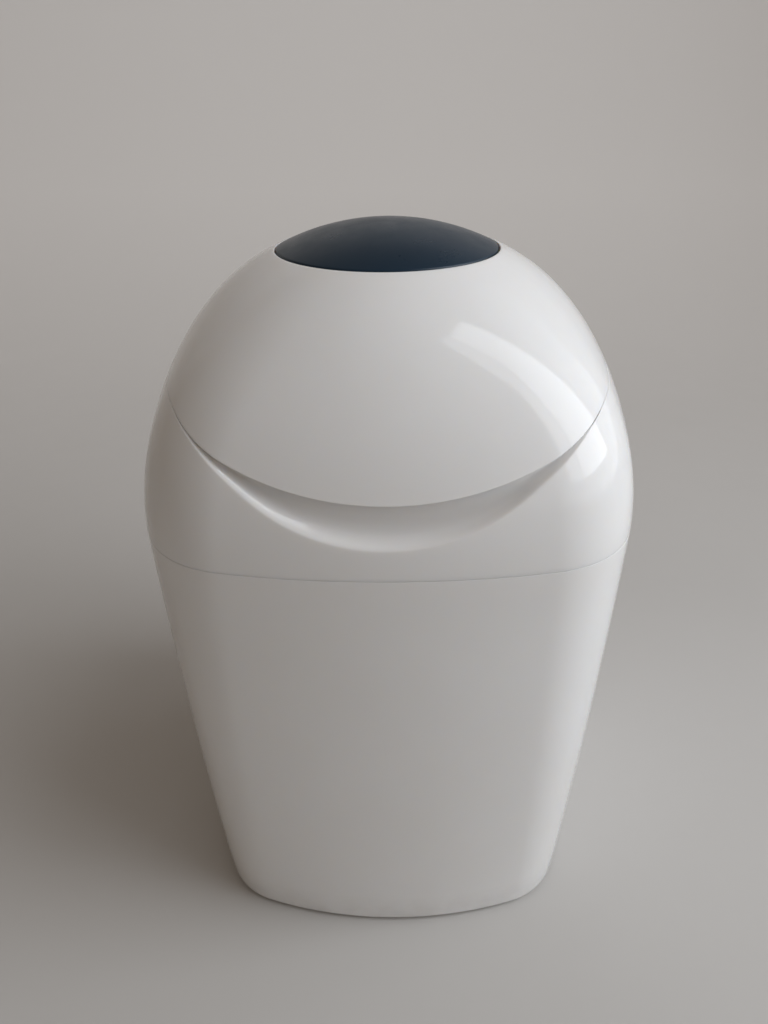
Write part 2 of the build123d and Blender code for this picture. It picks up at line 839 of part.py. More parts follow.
# Snap clips that press on the tub's locating rim
clip_side = abs(clip_y) + clip_width / 2
clip_reach = -front_reach(clip_side, seam_height) - rim_inner_inset - fit_gap - clip_wall / 2
clip_root = outline_values(deck_bottom)[0] - deck_screw_inset
clip_bulge_z = seam_height + clip_bulge_rise
with BuildPart() as snap_clips:
    with BuildSketch(Plane.XZ.offset(-clip_y - clip_width / 2)):
        with BuildLine():
            Polyline(
                (clip_root, deck_bottom - ledge_wall),
                (clip_root, clip_bulge_z + clip_bend_rise),
                (clip_reach, clip_bulge_z),
                (clip_reach - 2 * rim_wall, seam_height - clip_hook),
            )
        trace(line_width=clip_wall)
    extrude(amount=clip_width)
    mirror(about=Plane.YZ)
finish(snap_clips.part, "snap_clips")

# Twist mechanism
with BuildPart() as cassette_carrier:
    add(
        spun(
            [
                (throat_radius, carrier_floor),
                (carrier_radius, carrier_floor),
                (carrier_radius, flange_low),
                (flange_radius, flange_low),
                (flange_radius, flange_top),
                (carrier_radius - carrier_wall, flange_top),
                (carrier_radius - carrier_wall, carrier_floor + carrier_wall),
                (throat_radius + carrier_wall, carrier_floor + carrier_wall),
                (throat_radius + carrier_wall, carrier_floor + carrier_lip),
                (throat_radius, carrier_floor + carrier_lip),
            ]
        )
    )
    tooth_from = radians(tooth_start)
    tooth_to = radians(tooth_start + tooth_turn)
    tooth_root = carrier_radius - weld
    tooth_tip = carrier_radius + tooth_height
    with BuildSketch(Plane.XY.offset(tooth_top - tooth_length)):
        with PolarLocations(0, tooth_count):
            Polygon(
                (tooth_root * cos(tooth_from), tooth_root * sin(tooth_from)),
                (tooth_tip * cos(tooth_from), tooth_tip * sin(tooth_from)),
                (tooth_root * cos(tooth_to), tooth_root * sin(tooth_to)),
                align=None,
            )
    extrude(amount=tooth_length)
finish(cassette_carrier.part, "cassette_carrier")

ring_top = flange_top + ring_rim_height
ring_inner = flange_radius - ring_rim_wall
lip_top = ring_top - ring_drop
spigot_outer = carrier_radius - carrier_wall - fit_gap
grip_inner = cassette_inner + grip_inner_gap
grip_outer = flange_radius - grip_outer_gap
with BuildPart() as grip:
    with BuildSketch(Plane.XZ.offset(-grip_width / 2)):
        with BuildLine():
            Polyline(
                (grip_inner, lip_top),
                (grip_inner + grip_height / 2, lip_top + grip_height),
                (grip_outer - grip_height / 2, ring_top + grip_height / 2),
                (grip_outer, ring_top - ring_wall),
                close=True,
            )
        make_face()
    extrude(amount=grip_width)
    fillet(grip.edges().filter_by(GeomType.LINE).sort_by(Axis.Z)[-4:], grip_round)

with BuildPart() as twist_ring:
    add(
        spun(
            [
                (flange_radius, flange_top),
                (flange_radius, ring_top - ring_wall / 2),
                (flange_radius - ring_wall / 2, ring_top),
                (ring_inner, ring_top),
                (cassette_inner, lip_top),
                (throat_radius + ring_wall / 2, lip_top - ring_wall),
                (throat_radius, lip_top - 2 * ring_wall),
                (throat_radius + ring_wall, lip_top - 2 * ring_wall),
                (cassette_inner + ring_wall / 2, lip_top - ring_wall),
                (spigot_outer - ring_wall, ring_top - 2 * ring_wall),
                (spigot_outer - ring_wall, flange_top - spigot_length),
                (spigot_outer, flange_top - spigot_length),
                (spigot_outer, flange_top),
            ]
        )
    )
    with PolarLocations(0, grip_count):
        add(grip.part)
finish(twist_ring.part, "twist_ring")

# Film cassette
film_inner = cassette_inner + cassette_wall + film_room
film_outer = cassette_outer - cassette_wall - film_room
with BuildPart() as cassette_tub:
    add(
        spun(
            [
                (cassette_inner, cassette_low),
                (cassette_outer, cassette_low),
                (cassette_outer, cassette_top),
                (cassette_outer - cassette_wall, cassette_top),
                (cassette_outer - cassette_wall, cassette_low + cassette_wall),
                (cassette_inner + cassette_wall, cassette_low + cassette_wall),
                (cassette_inner + cassette_wall, cassette_top),
                (cassette_inner, cassette_top),
            ]
        )
    )
finish(cassette_tub.part, "cassette_tub")

with BuildPart() as cassette_cap:
    cap_inner = cassette_inner + cassette_wall + film_slot
    add(spun(ring_points(cap_inner, cassette_outer, cassette_top, cassette_top + cassette_wall)))
finish(cassette_cap.part, "cassette_cap")

with BuildPart() as film_pack:
    film_low = cassette_low + cassette_wall + film_room
    add(spun(ring_points(film_inner, film_outer, film_low, cassette_top - film_top_room)))
    chamfer(film_pack.edges(), film_bevel)
finish(film_pack.part, "film_pack")

# Lid shell
boss_spots = circle_spots(boss_circle, boss_count, boss_turn)
peg_circle = disc_radius - peg_inset
peg_spots = circle_spots(peg_circle, peg_count)
dome_height = liner_top - liner_low - liner_skirt
liner_sphere = (liner_radius**2 + dome_height**2) / (2 * dome_height)
boss_low = sphere_height(boss_circle - boss_radius - pad_margin, liner_top, liner_sphere) + weld
lid_web = [
    (root_y, side_parting + fit_gap),
    (lid_axis_y, side_parting + fit_gap),
    (lid_back, lid_axis_z + lid_barrel_radius / 2),
    (lid_axis_y - lid_barrel_radius, lid_axis_z + 2 * lid_barrel_radius),
    (root_y, lid_axis_z + 2 * lid_barrel_radius),
]
with BuildPart() as lid_shell:
    add(dome_outer)
    add(above_parting, mode=Mode.INTERSECT)
    add(hinge_leaves(lid_web, inner_knuckles))
    add(dome_inner, mode=Mode.SUBTRACT)
    add(round_bores(boss_spots, boss_low, disc_floor - wall + weld, boss_radius))
    drill([(0, 0)], disc_floor, total_height, recess_radius)
    drill(peg_spots, disc_floor - wall, disc_floor, peg_radius + running_gap)
    wide_outer = [(low - knuckle_gap, high + knuckle_gap) for low, high in outer_knuckles]
    drill_along_x(lid_axis_y, lid_axis_z, lid_barrel_radius + lid_notch, wide_outer)
    add(rods_along_x(lid_axis_y, lid_axis_z, lid_barrel_radius, inner_knuckles))
    drill_along_x(lid_axis_y, lid_axis_z, hinge_pin_radius + running_gap, hinge_length)
    drill(boss_spots, boss_low, boss_low + screw_length, screw_radius)
finish(lid_shell.part, "lid_shell")

# Disc in the lid's top
disc_rise = total_height - disc_rim_height
disc_sphere = (disc_radius**2 + disc_rise**2) / (2 * disc_rise)


with BuildPart() as lid_disc:
    with BuildSketch(Plane.XZ):
        with BuildLine():
            edge_in = disc_radius - disc_edge
            edge_z = sphere_height(edge_in, total_height, disc_sphere)
            mid = disc_radius / 2
            mid_z = sphere_height(mid, total_height, disc_sphere)
            ThreePointArc((0, total_height), (mid, mid_z), (edge_in, edge_z))
            Line((edge_in, edge_z), (disc_radius, edge_z - disc_edge))
            Line((disc_radius, edge_z - disc_edge), (disc_radius, disc_floor + disc_gap))
            inner_edge = disc_radius - disc_wall
            inner_top = total_height - disc_wall
            Line((disc_radius, disc_floor + disc_gap), (inner_edge, disc_floor + disc_gap))
            inner_z = sphere_height(inner_edge, inner_top, disc_sphere - disc_wall)
            Line((inner_edge, disc_floor + disc_gap), (inner_edge, inner_z))
            ThreePointArc(
                (inner_edge, inner_z),
                (mid, sphere_height(mid, inner_top, disc_sphere - disc_wall)),
                (0, inner_top),
            )
            Line((0, inner_top), (0, total_height))
        make_face()
    revolve(axis=Axis.Z)
    peg_top = sphere_height(peg_circle + peg_radius, inner_top, disc_sphere - disc_wall) + disc_wall / 2
    add(round_bores(peg_spots, disc_floor - wall - peg_reach, peg_top, peg_radius))
finish(lid_disc.part, "lid_disc")

# Liner, its screws and the odour seal
pad_low = boss_low - 3 * liner_wall
with BuildPart() as lid_liner:
    with BuildSketch(Plane.XZ):
        with BuildLine():
            skirt_top = liner_low + liner_skirt
            mid = liner_radius / 2
            inner_radius = liner_radius - liner_wall
            inner_sphere = liner_sphere - liner_wall
            Line((liner_radius, liner_low), (liner_radius, skirt_top))
            ThreePointArc(
                (liner_radius, skirt_top),
                (mid, sphere_height(mid, liner_top, liner_sphere)),
                (0, liner_top),
            )
            Line((0, liner_top), (0, liner_top - liner_wall))
            ThreePointArc(
                (0, liner_top - liner_wall),
                (mid, sphere_height(mid, liner_top - liner_wall, inner_sphere)),
                (inner_radius, sphere_height(inner_radius, liner_top - liner_wall, inner_sphere)),
            )
            Polyline(
                (inner_radius, sphere_height(inner_radius, liner_top - liner_wall, inner_sphere)),
                (inner_radius, liner_low),
                (liner_radius, liner_low),
            )
        make_face()
    revolve(axis=Axis.Z)
    add(round_bores(boss_spots, pad_low, boss_low, boss_radius + pad_margin))
    drill(boss_spots, pad_low, boss_low, screw_radius + running_gap)
finish(lid_liner.part, "lid_liner")
finish(screw_group(boss_spots, pad_low, up=False), "liner_screws")

seal_low = deck_top + seal_rim_height + seal_gap
with BuildPart() as lid_seal:
    seal_inner = liner_radius - seal_width
    add(spun(ring_points(seal_inner, liner_radius, seal_low, liner_low)))
    chamfer(lid_seal.edges().group_by(Axis.Z)[0], seal_bevel)
finish(lid_seal.part, "lid_seal")
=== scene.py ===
"""Twist-to-wrap nappy bin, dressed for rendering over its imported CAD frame.

The frame is in metres: the origin is the centre of the base on the floor, +Z is up and -Y is the front.
Sizes here are in millimetres, as on a maker's drawing, and become metres where a mesh is made.
"""
import logging
from dataclasses import dataclass
from enum import Enum
from math import asin, atan2, cos, pi, radians, sin, sqrt, tan
from typing import Callable, Optional, Sequence

import bmesh
import bpy
from mathutils import Matrix, Vector


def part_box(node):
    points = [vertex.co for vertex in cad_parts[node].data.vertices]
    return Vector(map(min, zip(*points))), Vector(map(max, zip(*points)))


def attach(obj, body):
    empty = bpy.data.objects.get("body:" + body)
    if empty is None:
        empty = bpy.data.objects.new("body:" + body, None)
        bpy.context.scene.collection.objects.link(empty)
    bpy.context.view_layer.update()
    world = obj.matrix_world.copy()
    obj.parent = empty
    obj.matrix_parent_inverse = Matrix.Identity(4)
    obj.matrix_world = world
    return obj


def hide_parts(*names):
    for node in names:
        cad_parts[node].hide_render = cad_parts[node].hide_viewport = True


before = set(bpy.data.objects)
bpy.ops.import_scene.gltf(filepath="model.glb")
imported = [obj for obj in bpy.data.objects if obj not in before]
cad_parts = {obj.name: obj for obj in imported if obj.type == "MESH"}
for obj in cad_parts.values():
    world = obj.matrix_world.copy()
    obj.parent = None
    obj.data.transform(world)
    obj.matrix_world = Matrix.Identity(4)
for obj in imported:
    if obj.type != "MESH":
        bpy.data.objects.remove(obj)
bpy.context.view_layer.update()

log = logging.getLogger("nappy_bin")

MM = 0.001
MERGE_DISTANCE = 0.004 * MM
SLIVER_LENGTH = 0.001 * MM
SHORTEST = 1e-6
LARGEST_ROUNDING = 0.45
STEP_RISE = 0.05

Path = list[Vector]
Colour = tuple[float, float, float]
Corners = list[tuple[Vector, float]]


# ---- Form of the body ----


@dataclass(frozen=True)
class BodyForm:
    """Rounded-square outline of the bin at every height, from the floor to the rim round the disc.

    A column is a place round the outline: 0 is the middle of the front, 1 the right side, 2 the rear
    and 3 the left side, and the corners lie half way between.
    """

    total_height: float = 480.0
    seam_height: float = 318.0
    base_half: float = 142.1
    seam_half: float = 156.6
    wall_bulge: float = 1.5
    dome_rise: float = 158.9
    dome_power: float = 2.05
    dome_fullness: float = 2.32
    base_flatness: float = 2.13
    seam_flatness: float = 3.11
    base_corner: float = 0.38
    seam_corner: float = 0.432
    rounding_power: float = 3.64
    full_round: float = 0.998
    rim_height: float = 464.4
    side_share: float = 0.34
    level_rounds: int = 12
    level_ease: float = 0.7

    def values(self, height: float) -> tuple[float, float, float]:
        """Half width, radius of the four large arcs and radius of the corners at a height."""
        if height <= self.seam_height:
            share = height / self.seam_height
            swell = self.wall_bulge * 4 * share * (1 - share)
            half = self.base_half + (self.seam_half - self.base_half) * share + swell
            flatness = self.base_flatness + (self.seam_flatness - self.base_flatness) * share
            corner = self.base_corner + (self.seam_corner - self.base_corner) * share
        else:
            rise = (height - self.seam_height) / self.dome_rise
            half = self.seam_half * (1 - rise**self.dome_power) ** (1 / self.dome_fullness)
            climb = (height - self.seam_height) / (self.rim_height - self.seam_height)
            rounding = min(climb**self.rounding_power, self.full_round)
            flatness = 1 / ((1 - rounding) / self.seam_flatness + rounding)
            corner = (1 - rounding) * self.seam_corner + rounding
        return half, flatness * half, corner * half

    def corner(self, height: float) -> tuple[float, float]:
        """Distance of a corner's centre from the axis, and the turn where the corner begins."""
        half, large, small = self.values(height)
        behind = large - half
        bend = large - small
        centre = (sqrt(2 * bend**2 - behind**2) - behind) / 2
        return centre, atan2(centre, centre + behind)

    def point(self, column: float, height: float, inset: float = 0.0) -> Vector:
        """Point of the surface at a column and height, drawn in square to the outline.

        Args:
            column: Place round the outline.
            height: Height above the floor.
            inset: Distance inside the surface.

        Returns:
            The point, in millimetres.
        """
        half, large, small = self.values(height)
        centre, turn = self.corner(height)
        quarter = round(column)
        local = column - quarter
        share = abs(local)
        if share <= self.side_share:
            angle = turn * share / self.side_share
            along, out = (large - inset) * sin(angle), large - half - (large - inset) * cos(angle)
        else:
            angle = turn + (pi / 4 - turn) * (share - self.side_share) / (0.5 - self.side_share)
            along, out = centre + (small - inset) * sin(angle), -centre - (small - inset) * cos(angle)
        if local < 0:
            along = -along
        swing = quarter * pi / 2
        return Vector((along * cos(swing) - out * sin(swing), along * sin(swing) + out * cos(swing), height))

    def reach(self, x: float, height: float) -> float:
        """Y of the front surface at a sideways place and height."""
        half, large, small = self.values(height)
        centre, turn = self.corner(height)
        if abs(x) <= large * sin(turn):
            return large - half - sqrt(large**2 - x**2)
        return -centre - sqrt(max(small**2 - (abs(x) - centre) ** 2, 0.0))

    def column_at(self, x: float, height: float, rear: bool = False) -> float:
        """Column of the front or rear surface whose point lies at a sideways place."""
        _, large, small = self.values(height)
        centre, turn = self.corner(height)
        if abs(x) <= large * sin(turn):
            share = self.side_share * asin(abs(x) / large) / turn
        else:
            angle = asin(min((abs(x) - centre) / small, 1.0))
            share = self.side_share + (0.5 - self.side_share) * (angle - turn) / (pi / 4 - turn)
        share = share if x >= 0 else -share
        return 2 - share if rear else share

    def slope_inset(self, height: float, thickness: float) -> float:
        """Sideways inset that leaves a wall of the given thickness square to the surface."""
        step = 0.5
        change = (self.values(height + step)[0] - self.values(height - step)[0]) / (2 * step)
        return thickness * sqrt(1 + change**2)

    def level(self, column: float, rule: Callable[[float, float], float], start: float) -> float:
        """Height at which a column meets a rule that gives a height for a place in plan."""
        height = start
        for _ in range(self.level_rounds):
            place = self.point(column, height)
            height += self.level_ease * (rule(place.x, place.y) - height)
        return height


@dataclass(frozen=True)
class PartingLine:
    """Line between lid and housing: a hollow arc at the front that runs out level round the back."""

    front: float = 362.0
    dip_radius: float = 212.0
    dip_half: float = 118.0
    end_radius: float = 24.0
    gap: float = 0.35

    def height(self, x: float, y: float) -> float:
        """Height of the lid's lower edge over a place in plan."""
        turn = self.dip_half / self.dip_radius
        dip = self.front + self.dip_radius * (1 - sqrt(1 - turn**2))
        end_x = self.dip_half + self.end_radius * turn
        level = dip + self.end_radius * (1 - sqrt(1 - turn**2))
        if y > 0 or abs(x) >= end_x:
            return level
        if abs(x) <= self.dip_half:
            return self.front + self.dip_radius - sqrt(self.dip_radius**2 - x**2)
        return level - self.end_radius + sqrt(self.end_radius**2 - (end_x - abs(x)) ** 2)


@dataclass(frozen=True)
class FingerScoop:
    """Crescent hollow under the lid's front edge, where fingertips reach in to lift it."""

    low: float = 338.0
    edge_radius: float = 118.0
    arc_half: float = 72.0
    half: float = 126.0
    depth: float = 13.0
    slope: float = 32.0
    round_share: float = 1.0
    fade_out: float = 1.5
    seat_depth: float = 28.0
    seat_slope: float = 28.0

    def edge(self, x: float) -> float:
        """Height of the lower edge: an arc, then straight flanks."""
        arc = min(abs(x), self.arc_half)
        rise = self.edge_radius - sqrt(self.edge_radius**2 - arc**2)
        steep = self.arc_half / sqrt(self.edge_radius**2 - self.arc_half**2)
        return self.low + rise + max(abs(x) - self.arc_half, 0.0) * steep

    def bowed(self, depth: float, x: float) -> float:
        """Depth at a sideways place of a hollow with the given depth in the middle."""
        share = min(abs(x) / self.half, 1.0)
        return depth * (1 - share**2) - self.fade_out * share**2

    def reach_in(self, x: float) -> float:
        """Depth of the back wall behind the body's surface."""
        return self.bowed(self.depth, x)

    def seat_in(self, x: float, rise: float) -> float:
        """Depth of the lid's seat above the hollow, behind the body's surface."""
        return min(self.bowed(self.seat_depth, x), rise / tan(radians(self.seat_slope)))


FORM = BodyForm()
PARTING = PartingLine()
SCOOP = FingerScoop()


# ---- Mesh helpers ----


def spaced(low: float, high: float, count: int) -> list[float]:
    """Evenly spaced values from low to high, both included."""
    return [low + (high - low) * i / (count - 1) for i in range(count)]


def softened(corners: Sequence[tuple[Vector, float]], count: int = 4) -> Path:
    """Path through corners, each rounded over its own reach.

    Args:
        corners: Corner points with the distance over which each is rounded, or 0 to keep it sharp.
        count: Points on each rounding.

    Returns:
        The points of the path, the same number for every path with the same pattern of reaches.
    """
    path: Path = []
    last = len(corners) - 1
    for i, (corner, reach) in enumerate(corners):
        if reach == 0 or i in (0, last):
            path.append(corner.copy())
            continue
        before, after = corners[i - 1][0] - corner, corners[i + 1][0] - corner
        start = corner + before * min(reach / max(before.length, SHORTEST), LARGEST_ROUNDING)
        end = corner + after * min(reach / max(after.length, SHORTEST), LARGEST_ROUNDING)
        for t in spaced(0.0, 1.0, count):
            path.append(start * (1 - t) ** 2 + corner * (2 * t * (1 - t)) + end * t**2)
    return path


def linked(name: str, data: bpy.types.ID) -> bpy.types.Object:
    """Object over a mesh, lamp or camera, linked to the scene."""
    thing = bpy.data.objects.new(name, data)
    bpy.context.scene.collection.objects.link(thing)
    return thing


def evaluated(thing: bpy.types.Object) -> bpy.types.Mesh:
    """Plain mesh of an object with its modifiers carried out."""
    bpy.context.view_layer.update()
    return bpy.data.meshes.new_from_object(thing.evaluated_get(bpy.context.evaluated_depsgraph_get()))


def new_piece(name: str, verts: Sequence[Vector], faces: Sequence[Sequence[int]],
              crease: float = 40.0) -> bpy.types.Object:
    """Closed mesh object from points in millimetres, smooth up to a crease angle.

    Args:
        name: Name of the object.
        verts: Points in millimetres.
        faces: Corner numbers of each face.
        crease: Angle in degrees above which an edge stays sharp.

    Returns:
        The object, linked to the scene, with its place in its mesh.
    """
    mesh = bpy.data.meshes.new(name)
    mesh.from_pydata([v * MM for v in verts], [], faces)
    return settle(name, mesh, crease)


def settle(name: str, mesh: bpy.types.Mesh, crease: float = 40.0) -> bpy.types.Object:
    """Object from a mesh in metres, with merged points, outward faces and marked creases."""
    work = bmesh.new()
    work.from_mesh(mesh)
    bmesh.ops.remove_doubles(work, verts=work.verts, dist=MERGE_DISTANCE)
    bmesh.ops.dissolve_degenerate(work, edges=work.edges, dist=SLIVER_LENGTH)
    bmesh.ops.recalc_face_normals(work, faces=work.faces)
    work.to_mesh(mesh)
    work.free()
    for face in mesh.polygons:
        face.use_smooth = True
    mesh.set_sharp_from_angle(angle=radians(crease))
    return linked(name, mesh)


def skin(paths: Sequence[Path], looped: bool, around: bool = True) -> tuple[list[Vector], list[list[int]]]:
    """Points and faces of a surface through paths that stand side by side.

    Args:
        paths: Paths with the same number of points, in order.
        looped: Whether each path closes on itself.
        around: Whether the last path joins the first.

    Returns:
        The points and the faces.
    """
    rows, count = len(paths[0]), len(paths)
    points = [p for path in paths for p in path]
    faces = []
    for i in range(count if around else count - 1):
        j = (i + 1) % count
        for k in range(rows if looped else rows - 1):
            m = (k + 1) % rows
            faces.append([i * rows + k, j * rows + k, j * rows + m, i * rows + m])
    return points, faces


def lofted(name: str, sections: Sequence[Path]) -> bpy.types.Object:
    """Closed piece through closed sections in a row, capped at both ends."""
    points, faces = skin(sections, True, around=False)
    rows = len(sections[0])
    faces += [list(range(rows)), list(range(len(points) - rows, len(points)))]
    return new_piece(name, points, faces)


def turned(name: str, corners: Sequence[tuple[float, float, float]], sides: int, looped: bool = True,
           rounds: int = 4) -> bpy.types.Object:
    """Piece turned about the upright axis.

    Args:
        name: Name of the object.
        corners: Radius, height and rounding reach of each corner of the section.
        sides: Steps round the axis.
        looped: Whether the section is a closed ring section, or starts and ends on the axis.
        rounds: Points on each rounding.

    Returns:
        The object.
    """
    section = [(Vector((r, 0, z)), reach) for r, z, reach in corners]
    if looped:
        first = section[0]
        middle = ((section[-1][0] + first[0]) / 2, 0.0)
        path = softened([middle, *section, middle], rounds)[:-1]
    else:
        path = softened(section, rounds)
    paths = []
    for i in range(sides):
        a = 2 * pi * i / sides
        paths.append([Vector((p.x * cos(a), p.x * sin(a), p.z)) for p in path])
    return new_piece(name, *skin(paths, looped))


def circle_spots(radius: float, count: int, start: float, height: float) -> list[Vector]:
    """Evenly spaced places on a circle, from a starting angle in degrees."""
    turns = [radians(start) + 2 * pi * i / count for i in range(count)]
    return [Vector((radius * cos(t), radius * sin(t), height)) for t in turns]


def joined(name: str, parts: Sequence[bpy.types.Object]) -> bpy.types.Object:
    """One object from several that belong to the same moulding."""
    mesh = bpy.data.meshes.new(name)
    work = bmesh.new()
    for part in parts:
        work.from_mesh(part.data)
        bpy.data.objects.remove(part)
    work.to_mesh(mesh)
    work.free()
    return linked(name, mesh)


def barrel(name: str, low: float, high: float, y: float, z: float, radius: float,
           bore: float) -> bpy.types.Object:
    """Hinge knuckle: a short tube along X with softened ends."""
    soft = 0.5
    corners = [(bore, low, 0.0), (radius, low, soft), (radius, high, soft), (bore, high, 0.0)]
    tube = turned(name, corners, sides=40)
    turn = Matrix(((0, 0, 1, 0), (1, 0, 0, y * MM), (0, 1, 0, z * MM), (0, 0, 0, 1)))
    tube.data.transform(turn)
    return tube


def prism(name: str, outline: Sequence[tuple[float, float]], low: float, high: float) -> bpy.types.Object:
    """Web along X between two places, from an outline of Y and Z pairs."""
    count = len(outline)
    points = [Vector((x, y, z)) for x in (low, high) for y, z in outline]
    faces = [list(range(count)), list(range(count, 2 * count))]
    faces += [[i, (i + 1) % count, count + (i + 1) % count, count + i] for i in range(count)]
    return new_piece(name, points, faces)


# ---- Finishes ----


class Tree:
    """Small helper that lays out the nodes of a tree."""

    def __init__(self, tree: bpy.types.NodeTree) -> None:
        """Takes the tree to lay out."""
        self.tree = tree

    def feed(self, value: object, socket: bpy.types.NodeSocket) -> None:
        """Links a socket to another, or sets it to a plain value."""
        if isinstance(value, bpy.types.NodeSocket):
            self.tree.links.new(value, socket)
        else:
            socket.default_value = (*value, 1.0) if socket.type == "RGBA" else value

    def add(self, kind: str, inputs: Optional[dict] = None, **settings: object) -> bpy.types.Node:
        """Adds a node with its options, and links or sets its inputs by name or number."""
        node = self.tree.nodes.new(kind)
        for name, value in settings.items():
            setattr(node, name, value)
        for key, value in (inputs or {}).items():
            self.feed(value, node.inputs[key])
        return node

    def blend(self, factor: bpy.types.NodeSocket, first: object, second: object) -> bpy.types.NodeSocket:
        """Mixes two colours, given as values or sockets."""
        return self.add("ShaderNodeMix", {"Factor": factor, "A": first, "B": second},
                        data_type="RGBA").outputs["Result"]


class Nodes(Tree):
    """A material's nodes: a Principled shader and the piece's own coordinates."""

    def __init__(self, name: str) -> None:
        """Starts the material."""
        self.material = bpy.data.materials.new(name)
        self.material.use_nodes = True
        super().__init__(self.material.node_tree)
        self.tree.nodes.clear()
        self.shader = self.add("ShaderNodeBsdfPrincipled")
        self.add("ShaderNodeOutputMaterial", {"Surface": self.shader.outputs[0]})
        self.place = self.add("ShaderNodeTexCoord").outputs["Object"]

    def along(self, axis: str) -> bpy.types.NodeSocket:
        """The piece's own coordinate along an axis, in metres."""
        return self.add("ShaderNodeSeparateXYZ", {0: self.place}).outputs[axis]

    def noise(self, scale: float, detail: float = 3.0, stretch: Sequence[float] = (1, 1, 1),
              roughness: float = 0.5) -> bpy.types.NodeSocket:
        """Noise over the piece, in features per metre.

        Args:
            scale: Features per metre.
            detail: Finer layers added on top.
            stretch: Scale along each axis.
            roughness: Strength of the finer layers.

        Returns:
            The socket of the noise value.
        """
        mapping = self.add("ShaderNodeMapping", {"Vector": self.place, "Scale": stretch})
        inputs = {"Vector": mapping.outputs[0], "Scale": scale, "Detail": detail, "Roughness": roughness}
        return self.add("ShaderNodeTexNoise", inputs).outputs["Fac"]

    def spread(self, source: bpy.types.NodeSocket, low: float = 0.0, high: float = 1.0, start: float = 0.35,
               end: float = 0.65) -> bpy.types.NodeSocket:
        """Maps a value from a band of its range onto another range."""
        return self.add("ShaderNodeMapRange", {"Value": source, "From Min": start, "From Max": end,
                                               "To Min": low, "To Max": high}).outputs["Result"]

    def bump(self, height: bpy.types.NodeSocket, strength: float, distance: float,
             under: Optional[bpy.types.NodeSocket] = None) -> bpy.types.NodeSocket:
        """Surface relief from a height value, in metres."""
        inputs = {"Strength": strength, "Distance": distance, "Height": height}
        if under is not None:
            inputs["Normal"] = under
        return self.add("ShaderNodeBump", inputs).outputs["Normal"]

    def finished(self, colour: object, roughness: object, relief: Optional[bpy.types.NodeSocket] = None,
                 **constants: object) -> bpy.types.Material:
        """Feeds the shader and hands over the material.

        Args:
            colour: Base colour.
            roughness: Roughness.
            relief: Normal of the surface relief, if there is any.
            constants: Sockets that are the same all over, by name with _ for each blank.

        Returns:
            The finished material.
        """
        for name, value in {"Base_Color": colour, "Roughness": roughness, **constants}.items():
            self.feed(value, self.shader.inputs[name.replace("_", " ")])
        if relief is not None:
            self.feed(relief, self.shader.inputs["Normal"])
        return self.material


@dataclass(frozen=True)
class MouldedPlastic:
    """Injection-moulded plastic with faint flow marks, handling haze and a gloss tool's fine waviness."""

    name: str
    colour: Colour
    shade: Colour
    gloss: tuple[float, float] = (0.16, 0.26)
    coat: float = 0.3
    wave: float = 0.06
    grain: float = 0.0
    # Strength of the darkening towards the bottom, in patches.
    low_darkening: float = 0.0
    translucence: float = 0.0
    index: float = 1.46
    coat_roughness: float = 0.04
    cloud_scale: float = 7.0
    haze_scale: float = 38.0
    wave_scale: float = 85.0
    wave_height: float = 0.0004
    grain_scale: float = 1600.0
    grain_height: float = 0.00006
    darkening_band: tuple[float, float] = (0.002, 0.030)
    darkening_patch_scale: float = 55.0
    darkening_tone: float = 0.55
    scatter_reach: float = 0.006
    scatter_radius: Colour = (1.0, 0.8, 0.6)

    def make(self) -> bpy.types.Material:
        """Builds the material."""
        nodes = Nodes(self.name)
        colour = nodes.blend(nodes.spread(nodes.noise(self.cloud_scale, 4.0)), self.colour, self.shade)
        # Darker towards the bottom, in patches: the lowest few centimetres blend towards a darker tone.
        if self.low_darkening:
            low = nodes.spread(nodes.along("Z"), self.low_darkening, 0.0, *self.darkening_band)
            patch = nodes.spread(nodes.noise(self.darkening_patch_scale, 5.0), 0.3, 1.0)
            amount = nodes.add("ShaderNodeMath", {0: low, 1: patch}, operation="MULTIPLY")
            colour = nodes.blend(amount.outputs[0], colour, tuple(c * self.darkening_tone for c in self.shade))
        haze = nodes.spread(nodes.noise(self.haze_scale, 6.0, roughness=0.65), *self.gloss)
        relief = nodes.bump(nodes.noise(self.wave_scale, 1.0), self.wave, self.wave_height)
        if self.grain:
            relief = nodes.bump(nodes.noise(self.grain_scale, 2.0), self.grain, self.grain_height, relief)
        constants = {"IOR": self.index, "Coat_Weight": self.coat, "Coat_Roughness": self.coat_roughness}
        if self.translucence:
            constants |= {"Subsurface_Weight": self.translucence, "Subsurface_Scale": self.scatter_reach,
                          "Subsurface_Radius": self.scatter_radius}
        return nodes.finished(colour, haze, relief, **constants)


@dataclass(frozen=True)
class PlatedSteel:
    """Zinc-plated steel, brushed along one axis with a faint bluish-yellow cast."""

    name: str
    colour: Colour = (0.62, 0.62, 0.60)
    tint: Colour = (0.50, 0.53, 0.56)
    stretch: tuple[float, float, float] = (1, 1, 12)
    patch_scale: float = 120.0
    brush_scale: float = 900.0
    gloss: tuple[float, float] = (0.22, 0.42)
    relief: tuple[float, float] = (0.15, 0.00004)

    def make(self) -> bpy.types.Material:
        """Builds the material."""
        nodes = Nodes(self.name)
        colour = nodes.blend(nodes.spread(nodes.noise(self.patch_scale)), self.colour, self.tint)
        brushed = nodes.noise(self.brush_scale, 4.0, self.stretch)
        return nodes.finished(colour, nodes.spread(brushed, *self.gloss), nodes.bump(brushed, *self.relief),
                              Metallic=1.0)


